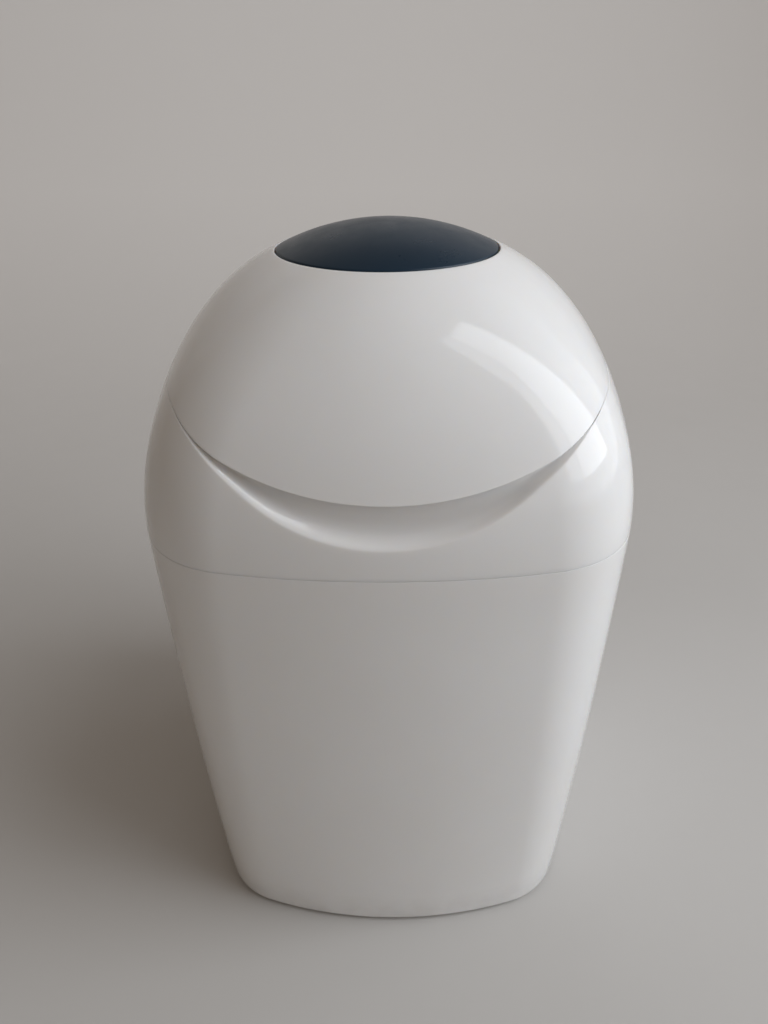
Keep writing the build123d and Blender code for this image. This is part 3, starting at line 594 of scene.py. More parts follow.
@dataclass(frozen=True)
class SoftRubber:
    """Matt rubber with a fine bloom and a pebbled skin."""

    name: str
    colour: Colour
    bloom: Colour
    bloom_scale: float = 60.0
    haze_scale: float = 240.0
    pebble_scale: float = 2200.0
    gloss: tuple[float, float] = (0.62, 0.82)
    relief: tuple[float, float] = (0.25, 0.00005)

    def make(self) -> bpy.types.Material:
        """Builds the material."""
        nodes = Nodes(self.name)
        colour = nodes.blend(nodes.spread(nodes.noise(self.bloom_scale, 5.0)), self.colour, self.bloom)
        haze = nodes.spread(nodes.noise(self.haze_scale), *self.gloss)
        pebbles = nodes.bump(nodes.noise(self.pebble_scale, 2.0), *self.relief)
        return nodes.finished(colour, haze, pebbles, Specular_IOR_Level=0.3)


@dataclass(frozen=True)
class WrappingFilm:
    """Thin cloudy film, gathered in tight folds, with a soft satin shine."""

    name: str
    colour: Colour = (0.62, 0.76, 0.72)
    fold: Colour = (0.42, 0.58, 0.56)
    stretch: tuple[float, float, float] = (1, 1, 6)
    fold_scale: float = 260.0
    haze_scale: float = 400.0
    gloss: tuple[float, float] = (0.24, 0.44)
    relief: tuple[float, float] = (0.6, 0.0006)

    def make(self) -> bpy.types.Material:
        """Builds the material."""
        nodes = Nodes(self.name)
        folds = nodes.noise(self.fold_scale, 5.0, self.stretch, 0.7)
        colour = nodes.blend(nodes.spread(folds), self.colour, self.fold)
        haze = nodes.spread(nodes.noise(self.haze_scale), *self.gloss)
        return nodes.finished(colour, haze, nodes.bump(folds, *self.relief),
                              Subsurface_Weight=0.15, Subsurface_Scale=0.003)


@dataclass(frozen=True)
class StudioPaint:
    """Pale paint of the studio floor and wall, with a trace of unevenness, painted lighter towards the back
    as painted light on the far floor and wall.
    """

    name: str
    colour: Colour
    shade: Colour
    # Lighter colour towards the back: painted light that brightens the far floor and wall.
    far: Colour
    painted_light_reach: tuple[float, float] = (0.3, 1.8)
    cloud_scale: float = 1.4
    haze_scale: float = 14.0
    gloss: tuple[float, float] = (0.5, 0.62)

    def make(self) -> bpy.types.Material:
        """Builds the material."""
        nodes = Nodes(self.name)
        near = nodes.blend(nodes.spread(nodes.noise(self.cloud_scale)), self.colour, self.shade)
        # Painted light: the paint turns lighter towards the back over the given reach along Y.
        depth = nodes.spread(nodes.along("Y"), 0.0, 1.0, *self.painted_light_reach)
        haze = nodes.spread(nodes.noise(self.haze_scale), *self.gloss)
        return nodes.finished(nodes.blend(depth, near, self.far), haze, Specular_IOR_Level=0.3)


class Finish(Enum):
    """The finishes of the bin's pieces."""

    WHITE_SHELL = MouldedPlastic("warm_white_gloss", (0.79, 0.78, 0.768), (0.77, 0.757, 0.74), (0.05, 0.10),
                                 0.1, 0.05, low_darkening=0.35, translucence=0.3, index=1.4)
    DARK_DISC = MouldedPlastic("slate_satin", (0.008, 0.026, 0.046), (0.006, 0.020, 0.037), (0.26, 0.36),
                               0.0, 0.02, grain=0.35, index=1.35)
    INNER_PALE = MouldedPlastic("pale_satin", (0.74, 0.73, 0.70), (0.70, 0.685, 0.65), (0.34, 0.46),
                                0.0, 0.03, grain=0.2)
    GREY_PART = MouldedPlastic("mid_grey_satin", (0.17, 0.19, 0.215), (0.15, 0.168, 0.19), (0.34, 0.46),
                               0.0, 0.03, grain=0.35)
    CASSETTE = MouldedPlastic("pale_blue_thin_wall", (0.52, 0.64, 0.72), (0.48, 0.60, 0.69), (0.28, 0.38),
                              0.0, 0.04, translucence=0.15)
    FILM = WrappingFilm("gathered_film")
    STEEL = PlatedSteel("zinc_plated_steel")
    FOOT = SoftRubber("black_rubber", (0.030, 0.030, 0.031), (0.055, 0.054, 0.053))
    SEAL = SoftRubber("grey_seal_rubber", (0.30, 0.31, 0.32), (0.36, 0.37, 0.375))

    @property
    def material(self) -> bpy.types.Material:
        """The finish's material, made once."""
        return bpy.data.materials.get(self.value.name) or self.value.make()


def dress_node(node: str, finish: Finish) -> None:
    """Gives a carried-over CAD node its finish and reports it."""
    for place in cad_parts[node].material_slots:
        place.material = finish.material
    log.info("node %s wears %s", node, finish.value.name)


def mount(piece: bpy.types.Object, body: str, slot: str, finish: Optional[Finish], *nodes: str) -> None:
    """Dresses a finished piece, seats it on its body and reports it.

    Args:
        piece: The piece, in place.
        body: Body that it rides on.
        slot: Name of a material slot; not used.
        finish: Finish to wear, or None where it already has one.
        nodes: CAD nodes that it stands for.
    """
    if finish is not None:
        piece.data.materials.clear()
        piece.data.materials.append(finish.material)
    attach(piece, body)
    if nodes:
        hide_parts(*nodes)
    log.info("piece %s: %d faces on %s", piece.name, len(piece.data.polygons), body)


# ---- Geometry Nodes patterns ----


class Pattern(Tree):
    """A Geometry Nodes tree that repeats a master shape, and leaves a plain mesh behind."""

    def __init__(self, name: str) -> None:
        """Starts a tree with a geometry input and output."""
        super().__init__(bpy.data.node_groups.new(name, "GeometryNodeTree"))
        self.tree.is_modifier = True
        self.socket_names: dict[str, str] = {}
        self.tree.interface.new_socket("Geometry", in_out="OUTPUT", socket_type="NodeSocketGeometry")
        self.entry = self.add("NodeGroupInput")
        self.exit = self.add("NodeGroupOutput")
        self.seeds, self.master = self.ask(Geometry="Geometry", Master="Object")

    def ask(self, **kinds: str) -> list[bpy.types.NodeSocket]:
        """Adds inputs to the tree, each with its kind and with _ for a blank in its name."""
        for key, kind in kinds.items():
            name = key.replace("_", " ")
            item = self.tree.interface.new_socket(name, in_out="INPUT", socket_type="NodeSocket" + kind)
            self.socket_names[name] = item.identifier
        return [self.entry.outputs[key.replace("_", " ")] for key in kinds]

    def math(self, operation: str, *values: object) -> bpy.types.NodeSocket:
        """Works out one step of arithmetic on values or sockets."""
        return self.add("ShaderNodeMath", dict(enumerate(values)), operation=operation).outputs[0]

    def vector(self, **parts: object) -> bpy.types.NodeSocket:
        """Puts a vector together from the parts that aren't zero."""
        return self.add("ShaderNodeCombineXYZ", parts).outputs[0]

    def chance(self, seed: bpy.types.NodeSocket, low: object, high: object) -> bpy.types.NodeSocket:
        """Random value for each copy, between two values or sockets."""
        node = self.add("FunctionNodeRandomValue", {"Seed": seed}, data_type="FLOAT")
        bounds = [s for s in node.inputs if s.type == "VALUE" and s.enabled]
        for value, socket in zip((low, high), bounds):
            self.feed(value, socket)
        return next(s for s in node.outputs if s.enabled)

    def copies(self, points: bpy.types.NodeSocket, **inputs: object) -> bpy.types.NodeSocket:
        """Sets the master shape on every point, turned or scaled as given."""
        shape = self.add("GeometryNodeObjectInfo", {"Object": self.master, "As Instance": True})
        inputs = {"Points": points, "Instance": shape.outputs["Geometry"], **inputs}
        return self.add("GeometryNodeInstanceOnPoints", inputs).outputs[0]

    def close(self, geometry: bpy.types.NodeSocket, finish: Finish) -> "Pattern":
        """Ends the tree in Realize Instances and Set Material."""
        real = self.add("GeometryNodeRealizeInstances", {"Geometry": geometry})
        inputs = {"Geometry": real.outputs[0], "Material": finish.material}
        self.feed(self.add("GeometryNodeSetMaterial", inputs).outputs[0], self.exit.inputs[0])
        return self

    def grow(self, name: str, master: bpy.types.Object, seeds: Sequence[Vector] = (Vector(),),
             crease: float = 40.0, **values: object) -> bpy.types.Object:
        """Runs the tree over seed points and keeps the result as a plain mesh.

        Args:
            name: Name of the finished piece.
            master: Shape that is repeated.
            seeds: Seed points in millimetres.
            crease: Angle in degrees above which an edge stays sharp.
            values: Value of each named input, with _ for a blank in its name.

        Returns:
            The finished piece.
        """
        mesh = bpy.data.meshes.new(name + "_seeds")
        mesh.from_pydata([s * MM for s in seeds], [], [])
        carrier = linked(name + "_seeds", mesh)
        modifier = carrier.modifiers.new("pattern", "NODES")
        modifier.node_group = self.tree
        for key, value in {"Master": master, **values}.items():
            modifier[self.socket_names[key.replace("_", " ")]] = value
        carrier.update_tag()
        shaped = evaluated(carrier)
        carrier.modifiers.clear()
        bpy.data.objects.remove(carrier)
        return settle(name, shaped, crease)


def repeat_pattern(name: str, finish: Finish) -> Pattern:
    """Tree that sets the master on every seed point, tipped by one turn and spun by a random one."""
    pattern = Pattern(name)
    tip, scale, loose, seed = pattern.ask(Tip="Vector", Scale="Float", Loose_turn="Float", Seed="Int")
    spin = pattern.vector(Z=pattern.chance(seed, pattern.math("MULTIPLY", loose, -1.0), loose))
    placed = pattern.copies(pattern.seeds, Rotation=tip, Scale=scale)
    spun = pattern.add("GeometryNodeRotateInstances", {"Instances": placed, "Rotation": spin})
    return pattern.close(spun.outputs[0], finish)


def ring_pattern(name: str, finish: Finish) -> Pattern:
    """Tree that copies the master round the upright axis, a number of times from a first angle."""
    pattern = Pattern(name)
    count, first = pattern.ask(Count="Int", First_angle="Float")
    spots = pattern.add("GeometryNodeMeshLine", {"Count": count, "Offset": (0.0, 0.0, 0.0)})
    index = pattern.add("GeometryNodeInputIndex").outputs[0]
    turn = pattern.math("MULTIPLY_ADD", index, pattern.math("DIVIDE", 2 * pi, count), first)
    return pattern.close(pattern.copies(spots.outputs[0], Rotation=pattern.vector(Z=turn)), finish)


def stack_pattern(name: str, finish: Finish) -> Pattern:
    """Tree that stacks the thin master upward by a pitch, each layer's width a little astray."""
    pattern = Pattern(name)
    count, pitch, stray, seed = pattern.ask(Count="Int", Pitch="Float", Stray="Float", Seed="Int")
    spots = pattern.add("GeometryNodeMeshLine", {"Count": count, "Offset": pattern.vector(Z=pitch)})
    drift = pattern.math("MULTIPLY_ADD", pattern.chance(seed, -1.0, 1.0), stray, 1.0)
    size = pattern.vector(X=drift, Y=drift, Z=1.0)
    return pattern.close(pattern.copies(spots.outputs[0], Scale=size), finish)


# ---- Sub-assemblies ----


@dataclass
class HingeLayout:
    """Both rear hinges: a row of five knuckles on a pin, shared in turn by the two parts that they join."""

    lid_y: float = 139.2
    lid_z: float = 403.2
    lid_radius: float = 4.2
    body_y: float = 151.8
    body_z: float = 318.2
    body_radius: float = 4.4
    bore: float = 1.6
    half: float = 50.0
    count: int = 5
    gap: float = 0.5
    notch: float = 0.6
    web: float = 5.6
    pocket_half: float = 75.0
    pocket_reach: float = 12.0
    pocket_face: float = 146.9

    def stretches(self, first: int) -> list[tuple[float, float]]:
        """Every second stretch of the barrel, from the first or the second on."""
        length = 2 * self.half / self.count
        lows = [-self.half + length * i for i in range(first, self.count, 2)]
        return [(low + self.gap / 2, low + length - self.gap / 2) for low in lows]

    def knuckles(self, name: str, first: int, lid: bool) -> list[bpy.types.Object]:
        """Barrels of one part of a hinge."""
        hinge = (self.lid_y, self.lid_z, self.lid_radius)
        if not lid:
            hinge = (self.body_y, self.body_z, self.body_radius)
        return [barrel(f"{name}_{i}", low, high, *hinge, self.bore)
                for i, (low, high) in enumerate(self.stretches(first))]

    def webs(self, name: str, outline: Sequence[tuple[float, float]], first: int) -> list[bpy.types.Object]:
        """Webs that carry one part's knuckles, from an outline of Y and Z pairs."""
        return [prism(f"{name}_{i}", outline, low, high)
                for i, (low, high) in enumerate(self.stretches(first))]

    def cut_spans(self, first: int) -> list[tuple[float, float]]:
        """Stretches of a rear edge that make room for the other part's knuckles."""
        return [(low - self.gap, high + self.gap) for low, high in self.stretches(first)]


HINGES = HingeLayout()


def body_columns(front: int, side: int, edges: Sequence[tuple[float, float]] = ()) -> list[float]:
    """Columns all round the body, with close pairs where an edge steps.

    Args:
        front: Columns across the front quarter.
        side: Columns across each other quarter.
        edges: Sideways places at the rear with the height at which they are measured.

    Returns:
        The columns in order, from the front's left corner round to it again.
    """
    columns = [-0.5 + i / front for i in range(front)]
    for quarter in (1, 2, 3):
        columns += [quarter - 0.5 + i / side for i in range(side)]
    step = 0.02
    columns += [FORM.column_at(near, height, rear=True)
                for x, height in edges for near in (x - step, x + step)]
    return sorted(columns)


def within(x: float, spans: Sequence[tuple[float, float]]) -> bool:
    """Whether a place lies in one of several spans."""
    return any(low < x < high for low, high in spans)


@dataclass
class TubAssembly:
    """Lower tub: a tapered rounded-square bucket with a locating rim, a hinge niche and four rubber feet."""

    wall: float = 3.0
    ground: float = 1.8
    base_round: float = 5.5
    edge_soft: float = 0.3
    rim_outer: float = 3.8
    rim_inner: float = 6.0
    rim_rise: float = 7.0
    rim_root: float = 12.0
    rim_break: float = 95.0
    block: float = 3.0
    corner_soft: float = 0.4
    crest_soft: float = 0.5
    base_lead: tuple[float, float] = (1.0, 8.0)
    top_lead: float = 2.5
    foot_drops: tuple[float, float] = (6.0, 16.0)
    floor_round: float = 5.0
    floor_lead: float = 12.0
    columns: tuple[int, int] = (72, 56)
    wall_rows: int = 26
    inner_rows: int = 10

    def zone(self, column: float) -> tuple[float, float, float, Optional[tuple[float, float]]]:
        """Heights of the top edge, riser and foot at a column, and the niche's Y places if it has one."""
        seam = FORM.seam_height
        place = FORM.point(column, seam)
        if place.y > 0:
            side = abs(place.x)
            niche = (HINGES.pocket_face, HINGES.pocket_face - self.block)
            foot = seam - HINGES.pocket_reach - self.block
            if side < HINGES.pocket_half:
                return seam - HINGES.pocket_reach, seam, foot, niche
            if side < HINGES.pocket_half + self.block:
                return seam, seam + STEP_RISE, foot, niche
            if side < self.rim_break:
                return seam, seam + STEP_RISE, seam - self.rim_root, None
        return seam, seam + self.rim_rise, seam - self.rim_root, None

    def profile(self, column: float) -> Path:
        """Path from the middle of the base, up the outside, over the rim and down to the middle inside."""
        low, wall = self.ground, self.wall
        land, riser, foot, niche = self.zone(column)
        base, floor = FORM.point(column, low), low + wall
        tight_lead, long_lead = self.base_lead
        path = [self.toward_axis(base, share) for share in (0.0, 0.5, 0.85)]
        base_end = FORM.point(column, low + self.base_round + tight_lead)
        path += softened([(path[-1], 0), (base, self.base_round), (base_end, 0)], 8)[1:]
        heights = spaced(low + self.base_round + long_lead, land - self.top_lead, self.wall_rows)
        path += [FORM.point(column, z) for z in heights]
        top = FORM.point(column, land)
        if niche:
            riser_out, riser_in = (Vector((top.x, y, land)) for y in niche)
        else:
            insets = (self.rim_outer, self.rim_inner)
            riser_out, riser_in = (FORM.point(column, land, inset) for inset in insets)
        corner, crest = self.corner_soft, self.crest_soft
        path += softened([
            (path[-1], 0), (top, self.edge_soft), (riser_out, corner),
            (Vector((*riser_out.xy, riser)), crest), (Vector((*riser_in.xy, riser)), crest),
            (Vector((*riser_in.xy, foot)), corner), (FORM.point(column, foot, wall), corner),
            (FORM.point(column, foot - self.foot_drops[0], wall), 0),
        ])[1:]
        heights = spaced(foot - self.foot_drops[1], floor + self.floor_lead, self.inner_rows)
        path += [FORM.point(column, z, wall) for z in heights]
        inner = FORM.point(column, floor, wall)
        inward = [self.toward_axis(inner, share) for share in (0.7, 0.35, 0.0)]
        path += softened([(path[-1], 0), (inner, self.floor_round), (inward[0], 0)], 6)[1:]
        return path + inward[1:]

    @staticmethod
    def toward_axis(place: Vector, share: float) -> Vector:
        """Place at a share of the way out from the axis, at the same height."""
        return place * share + Vector((0, 0, place.z * (1 - share)))

    def build(self) -> None:
        """Makes the tub's pieces and dresses what it keeps from the frame."""
        seam = FORM.seam_height
        steps = [(s * x, seam) for s in (-1, 1)
                 for x in (HINGES.pocket_half, HINGES.pocket_half + self.block, self.rim_break)]
        columns = body_columns(*self.columns, steps)
        shell = new_piece("tub_moulding", *skin([self.profile(c) for c in columns], False), crease=50)
        near, far = HINGES.body_y - HINGES.web / 2, HINGES.body_y + HINGES.web / 2
        floor = seam - HINGES.pocket_reach - 0.5
        outline = [(near, floor), (far, floor), (far, HINGES.body_z), (near, HINGES.body_z)]
        parts = [shell, *HINGES.webs("tub_web", outline, 0), *HINGES.knuckles("tub_knuckle", 0, lid=False)]
        mount(joined("tub", parts), "tub", "white_shell", Finish.WHITE_SHELL, "tub_shell")
        dress_node("base_feet", Finish.FOOT)
        dress_node("housing_hinge_pin", Finish.STEEL)


@dataclass
class HousingAssembly:
    """Hinged upper housing: shell with finger scoop and deck ledge, deck, mechanism cup and cutter."""

    wall: float = 3.0
    seam_gap: float = 0.15
    edge_soft: float = 0.35
    scoop_soft: float = 4.5
    lip_rise: float = 10.0
    lip_half: float = 118.0
    lip_ramp: float = 8.0
    lip_inset: float = 4.4
    block: float = 3.0
    fold_soft: float = 0.3
    flat_soft: float = 0.2
    corner_soft: float = 0.4
    crest_soft: float = 0.8
    lead_share: float = 0.4
    least_cut: float = 0.4
    inner_drops: tuple[float, ...] = (4.0, 8.0, 13.0)
    web_root: float = -1.5
    ledge: tuple[float, float] = (362.7, 366.0)
    ledge_inset: float = 14.0
    ledge_behind: float = 8.0
    columns: tuple[int, int] = (132, 56)
    wall_rows: int = 16

    def bottom(self, column: float) -> tuple[Path, Path]:
        """Corners of the lower edge, from the inner wall outwards, and of the inner wall above it."""
        low = FORM.seam_height + self.seam_gap
        roof = FORM.seam_height + HINGES.pocket_reach
        at_rear = FORM.point(column, low)
        above = roof + self.block
        if at_rear.y > 0 and abs(at_rear.x) < HINGES.pocket_half + self.block:
            face, inner = HINGES.pocket_face, HINGES.pocket_face - self.block
            land = roof if abs(at_rear.x) < HINGES.pocket_half else low + STEP_RISE
            x = at_rear.x
            outward = [Vector((x, y, z)) for y, z in ((inner, low), (face, low), (face, land))]
            upward = [Vector((x, inner, above)), FORM.point(column, above, self.wall)]
            return outward + [FORM.point(column, land)], upward
        outward = [FORM.point(column, low, self.wall * share) for share in (1.0, 0.75, 0.5)]
        upward = [FORM.point(column, low + 6, self.wall), FORM.point(column, above, self.wall)]
        return outward + [at_rear], upward

    def rear_top(self, x: float, y: float) -> float:
        """Height of the rear edge, lower where the lid's knuckles turn."""
        level = PARTING.height(x, y) - PARTING.gap
        if y > 0 and within(x, HINGES.cut_spans(1)):
            return HINGES.lid_z - HINGES.lid_radius - HINGES.notch
        return level

    def plain_top(self, column: float, low: float, level: float) -> tuple[Path, Corners, Path]:
        """Sides of the upper edge where the body has no lip. Arguments and result are those of top."""
        place = FORM.point(column, level)
        level = self.rear_top(place.x, place.y)
        fold, flat, edge = self.fold_soft, self.flat_soft, self.edge_soft
        rows = ((6.0, 0.0, 0.0), (4.0, 0.0, fold), (2.0, 0.0, fold), (0.0, 0.0, edge), (0.0, 1.0, flat),
                (0.0, 2.0, flat), (0.0, self.wall, edge))
        corners = [(FORM.point(column, level - drop, inset), soft) for drop, inset, soft in rows]
        return self.wall_points(column, low, level - 8.0), corners, self.inner_edge(column, level)

    def wall_points(self, column: float, low: float, high: float) -> Path:
        """Points up the outer wall at a column."""
        return [FORM.point(column, z) for z in spaced(low, high, self.wall_rows)]

    def inner_edge(self, column: float, level: float) -> Path:
        """Points down the inner wall below an edge."""
        return [FORM.point(column, level - drop, self.wall) for drop in self.inner_drops]

    def top(self, column: float, low: float) -> tuple[Path, Corners, Path]:
        """Outer and inner sides of the upper edge at a column.

        Args:
            column: Place round the outline.
            low: Height where the outer wall begins.

        Returns:
            Outer wall points up to the edge, corners with their reaches over it, and inner wall points down.
        """
        form, wall, fold = FORM, self.wall, self.fold_soft
        start = form.point(column, 380.0)
        level = form.level(column, lambda x, y: PARTING.height(x, y) - PARTING.gap, 390.0)
        if start.y >= 0 or abs(start.x) >= self.lip_half + 6:
            return self.plain_top(column, low, level)
        edge = form.level(column, lambda x, y: SCOOP.edge(x), 345.0)
        cut = edge < level - self.least_cut
        x = form.point(column, edge if cut else level).x
        slope = radians(SCOOP.slope)
        if cut:
            begin = Vector((x, form.reach(x, edge), edge))
            deep = SCOOP.reach_in(x)
            back = begin.y + deep
            level = PARTING.height(x, -1.0) - PARTING.gap
            rise = deep * tan(slope)
            soft = min(self.scoop_soft, LARGEST_ROUNDING * (level - edge))
            if edge + rise < level - 0.5:
                bend, out = Vector((x, back, edge + rise)), Vector((x, back, level))
                turn = SCOOP.round_share * (deep + SCOOP.fade_out) * tan((pi / 2 - slope) / 2)
                turn = min(turn, level - bend.z)
            else:
                out = Vector((x, begin.y + (level - edge) / tan(slope), level))
                bend, turn = (begin + out) / 2, fold
            high = edge - soft - 1.0
            seat_y = begin.y + SCOOP.seat_in(x, level - edge)
        else:
            out, begin, bend = (form.point(column, level - drop) for drop in (0.0, 3.0, 1.5))
            soft, turn, seat_y = fold, fold, out.y
            high = level - 6.0
        lift = self.lip_rise * max(min((self.lip_half - abs(x)) / self.lip_ramp, 1.0), 0.02)
        inset = wall + (self.lip_inset - wall) * min(lift / 2, 1.0)
        land_y = max(out.y + STEP_RISE, seat_y, form.reach(x, level) + inset - (0.0 if lift > 0.5 else 1.5))
        crest = Vector((x, max(land_y, form.reach(x, level + lift) + inset), level + lift))
        lead = form.point(column, high + self.lead_share * (begin.z - high))
        outer = self.wall_points(column, low, high)
        corners = [(lead, 0.0), (begin, soft), (bend, max(turn, self.flat_soft)), (out, self.corner_soft),
                   (Vector((x, land_y, level)), fold), (crest, self.crest_soft),
                   (crest + Vector((0, wall, 0)), self.crest_soft)]
        if not cut or edge + wall >= level:
            return outer, corners, self.inner_edge(column, level)
        under = wall / cos(slope)
        inner = [Vector((x, land_y + wall, max(level - 2.0, bend.z - under + 2.0))),
                 Vector((x, max(back, begin.y) + wall, min(bend.z - under + 1.0, level - 3.0))),
                 form.point(column, edge - under - 4.0, wall)]
        return outer, corners, inner

    def profile(self, column: float) -> Path:
        """Closed section of the shell's wall at a column."""
        outward, upward = self.bottom(column)
        wall_points, corners, inner = self.top(column, outward[-1].z + 3.0)
        middle = (outward[0] + upward[0]) / 2
        reaches = (self.corner_soft, self.fold_soft, self.fold_soft, self.edge_soft)
        path = softened([(middle, 0), *zip(outward, reaches), (wall_points[0], 0)])[:-1]
        path += wall_points
        path += softened([(wall_points[-1], 0), *corners, (inner[0], 0)], 6)[1:-1]
        path += inner
        lowest, highest = upward[1].z, inner[-1].z
        path += [FORM.point(column, z, self.wall) for z in spaced(highest - 3.0, lowest + 2.0, 8)]
        path += [upward[1], upward[0]]
        return path

    def ledge_section(self, column: float) -> Path:
        """Closed section of the ledge that carries the deck."""
        low, high = self.ledge
        outer, inner = FORM.point(column, high, self.wall / 2), FORM.point(column, high, self.ledge_inset)
        if outer.y < 0 and abs(outer.x) < SCOOP.half:
            x = outer.x
            edge = SCOOP.edge(x)
            face = FORM.reach(x, edge)
            hollow = face + min(SCOOP.reach_in(x), max(high - edge, 0.0) / tan(radians(SCOOP.slope)))
            outer.y = max(outer.y, hollow + self.wall / 2)
            inner = Vector((x, max(inner.y, outer.y + self.ledge_behind), high))
        corners = ((outer, low), (inner, low), (inner, high), (outer, high))
        return [Vector((*side.xy, z)) for side, z in corners]

    def lid_webs(self) -> list[bpy.types.Object]:
        """Webs that carry the housing's knuckles of the lid hinge."""
        radius, y, z = HINGES.lid_radius, HINGES.lid_y, HINGES.lid_z
        low, top = z - 3 * radius, PARTING.height(0, 1) - PARTING.gap
        foot, head = (-FORM.reach(0, height) + self.web_root for height in (low, top))
        outline = [(foot, low), (y - radius / 2, low), (y + radius, z - radius / 2), (y + radius, z), (y, z),
                   (head, top)]
        return HINGES.webs("lid_web", outline, 0)

    def body_webs(self) -> list[bpy.types.Object]:
        """Webs that carry the housing's knuckles of the body hinge."""
        half, y, z = HINGES.web / 2, HINGES.body_y, HINGES.body_z
        roof = FORM.seam_height + HINGES.pocket_reach + 0.5
        return HINGES.webs("body_web", [(y - half, z), (y + half, z), (y + half, roof), (y - half, roof)], 1)

    def build(self) -> None:
        """Makes the housing's shell and dresses what it keeps from the frame."""
        seam, rear = FORM.seam_height, PARTING.height(0, 1)
        pocket = (HINGES.pocket_half, HINGES.pocket_half + self.block)
        steps = [(s * x, seam) for s in (-1, 1) for x in pocket]
        steps += [(x, rear) for span in HINGES.cut_spans(1) for x in span]
        columns = body_columns(*self.columns, steps)
        shell = new_piece("housing_wall", *skin([self.profile(c) for c in columns], True), crease=50)
        ledge = new_piece("housing_ledge", *skin([self.ledge_section(c) for c in body_columns(96, 40)], True))
        parts = [shell, ledge, *self.lid_webs(), *self.body_webs()]
        parts += HINGES.knuckles("lid_knuckle", 0, lid=True) + HINGES.knuckles("body_knuckle", 1, lid=False)
        mount(joined("housing", parts), "housing", "white_shell", Finish.WHITE_SHELL, "housing_shell")
        for node in ("deck", "mechanism_cup"):
            dress_node(node, Finish.INNER_PALE)
        for node in ("lid_hinge_pin", "pawl_pin", "pawl_spring", "cutter_blade", "snap_clips"):
            dress_node(node, Finish.STEEL)
        dress_node("cutter_guard", Finish.GREY_PART)


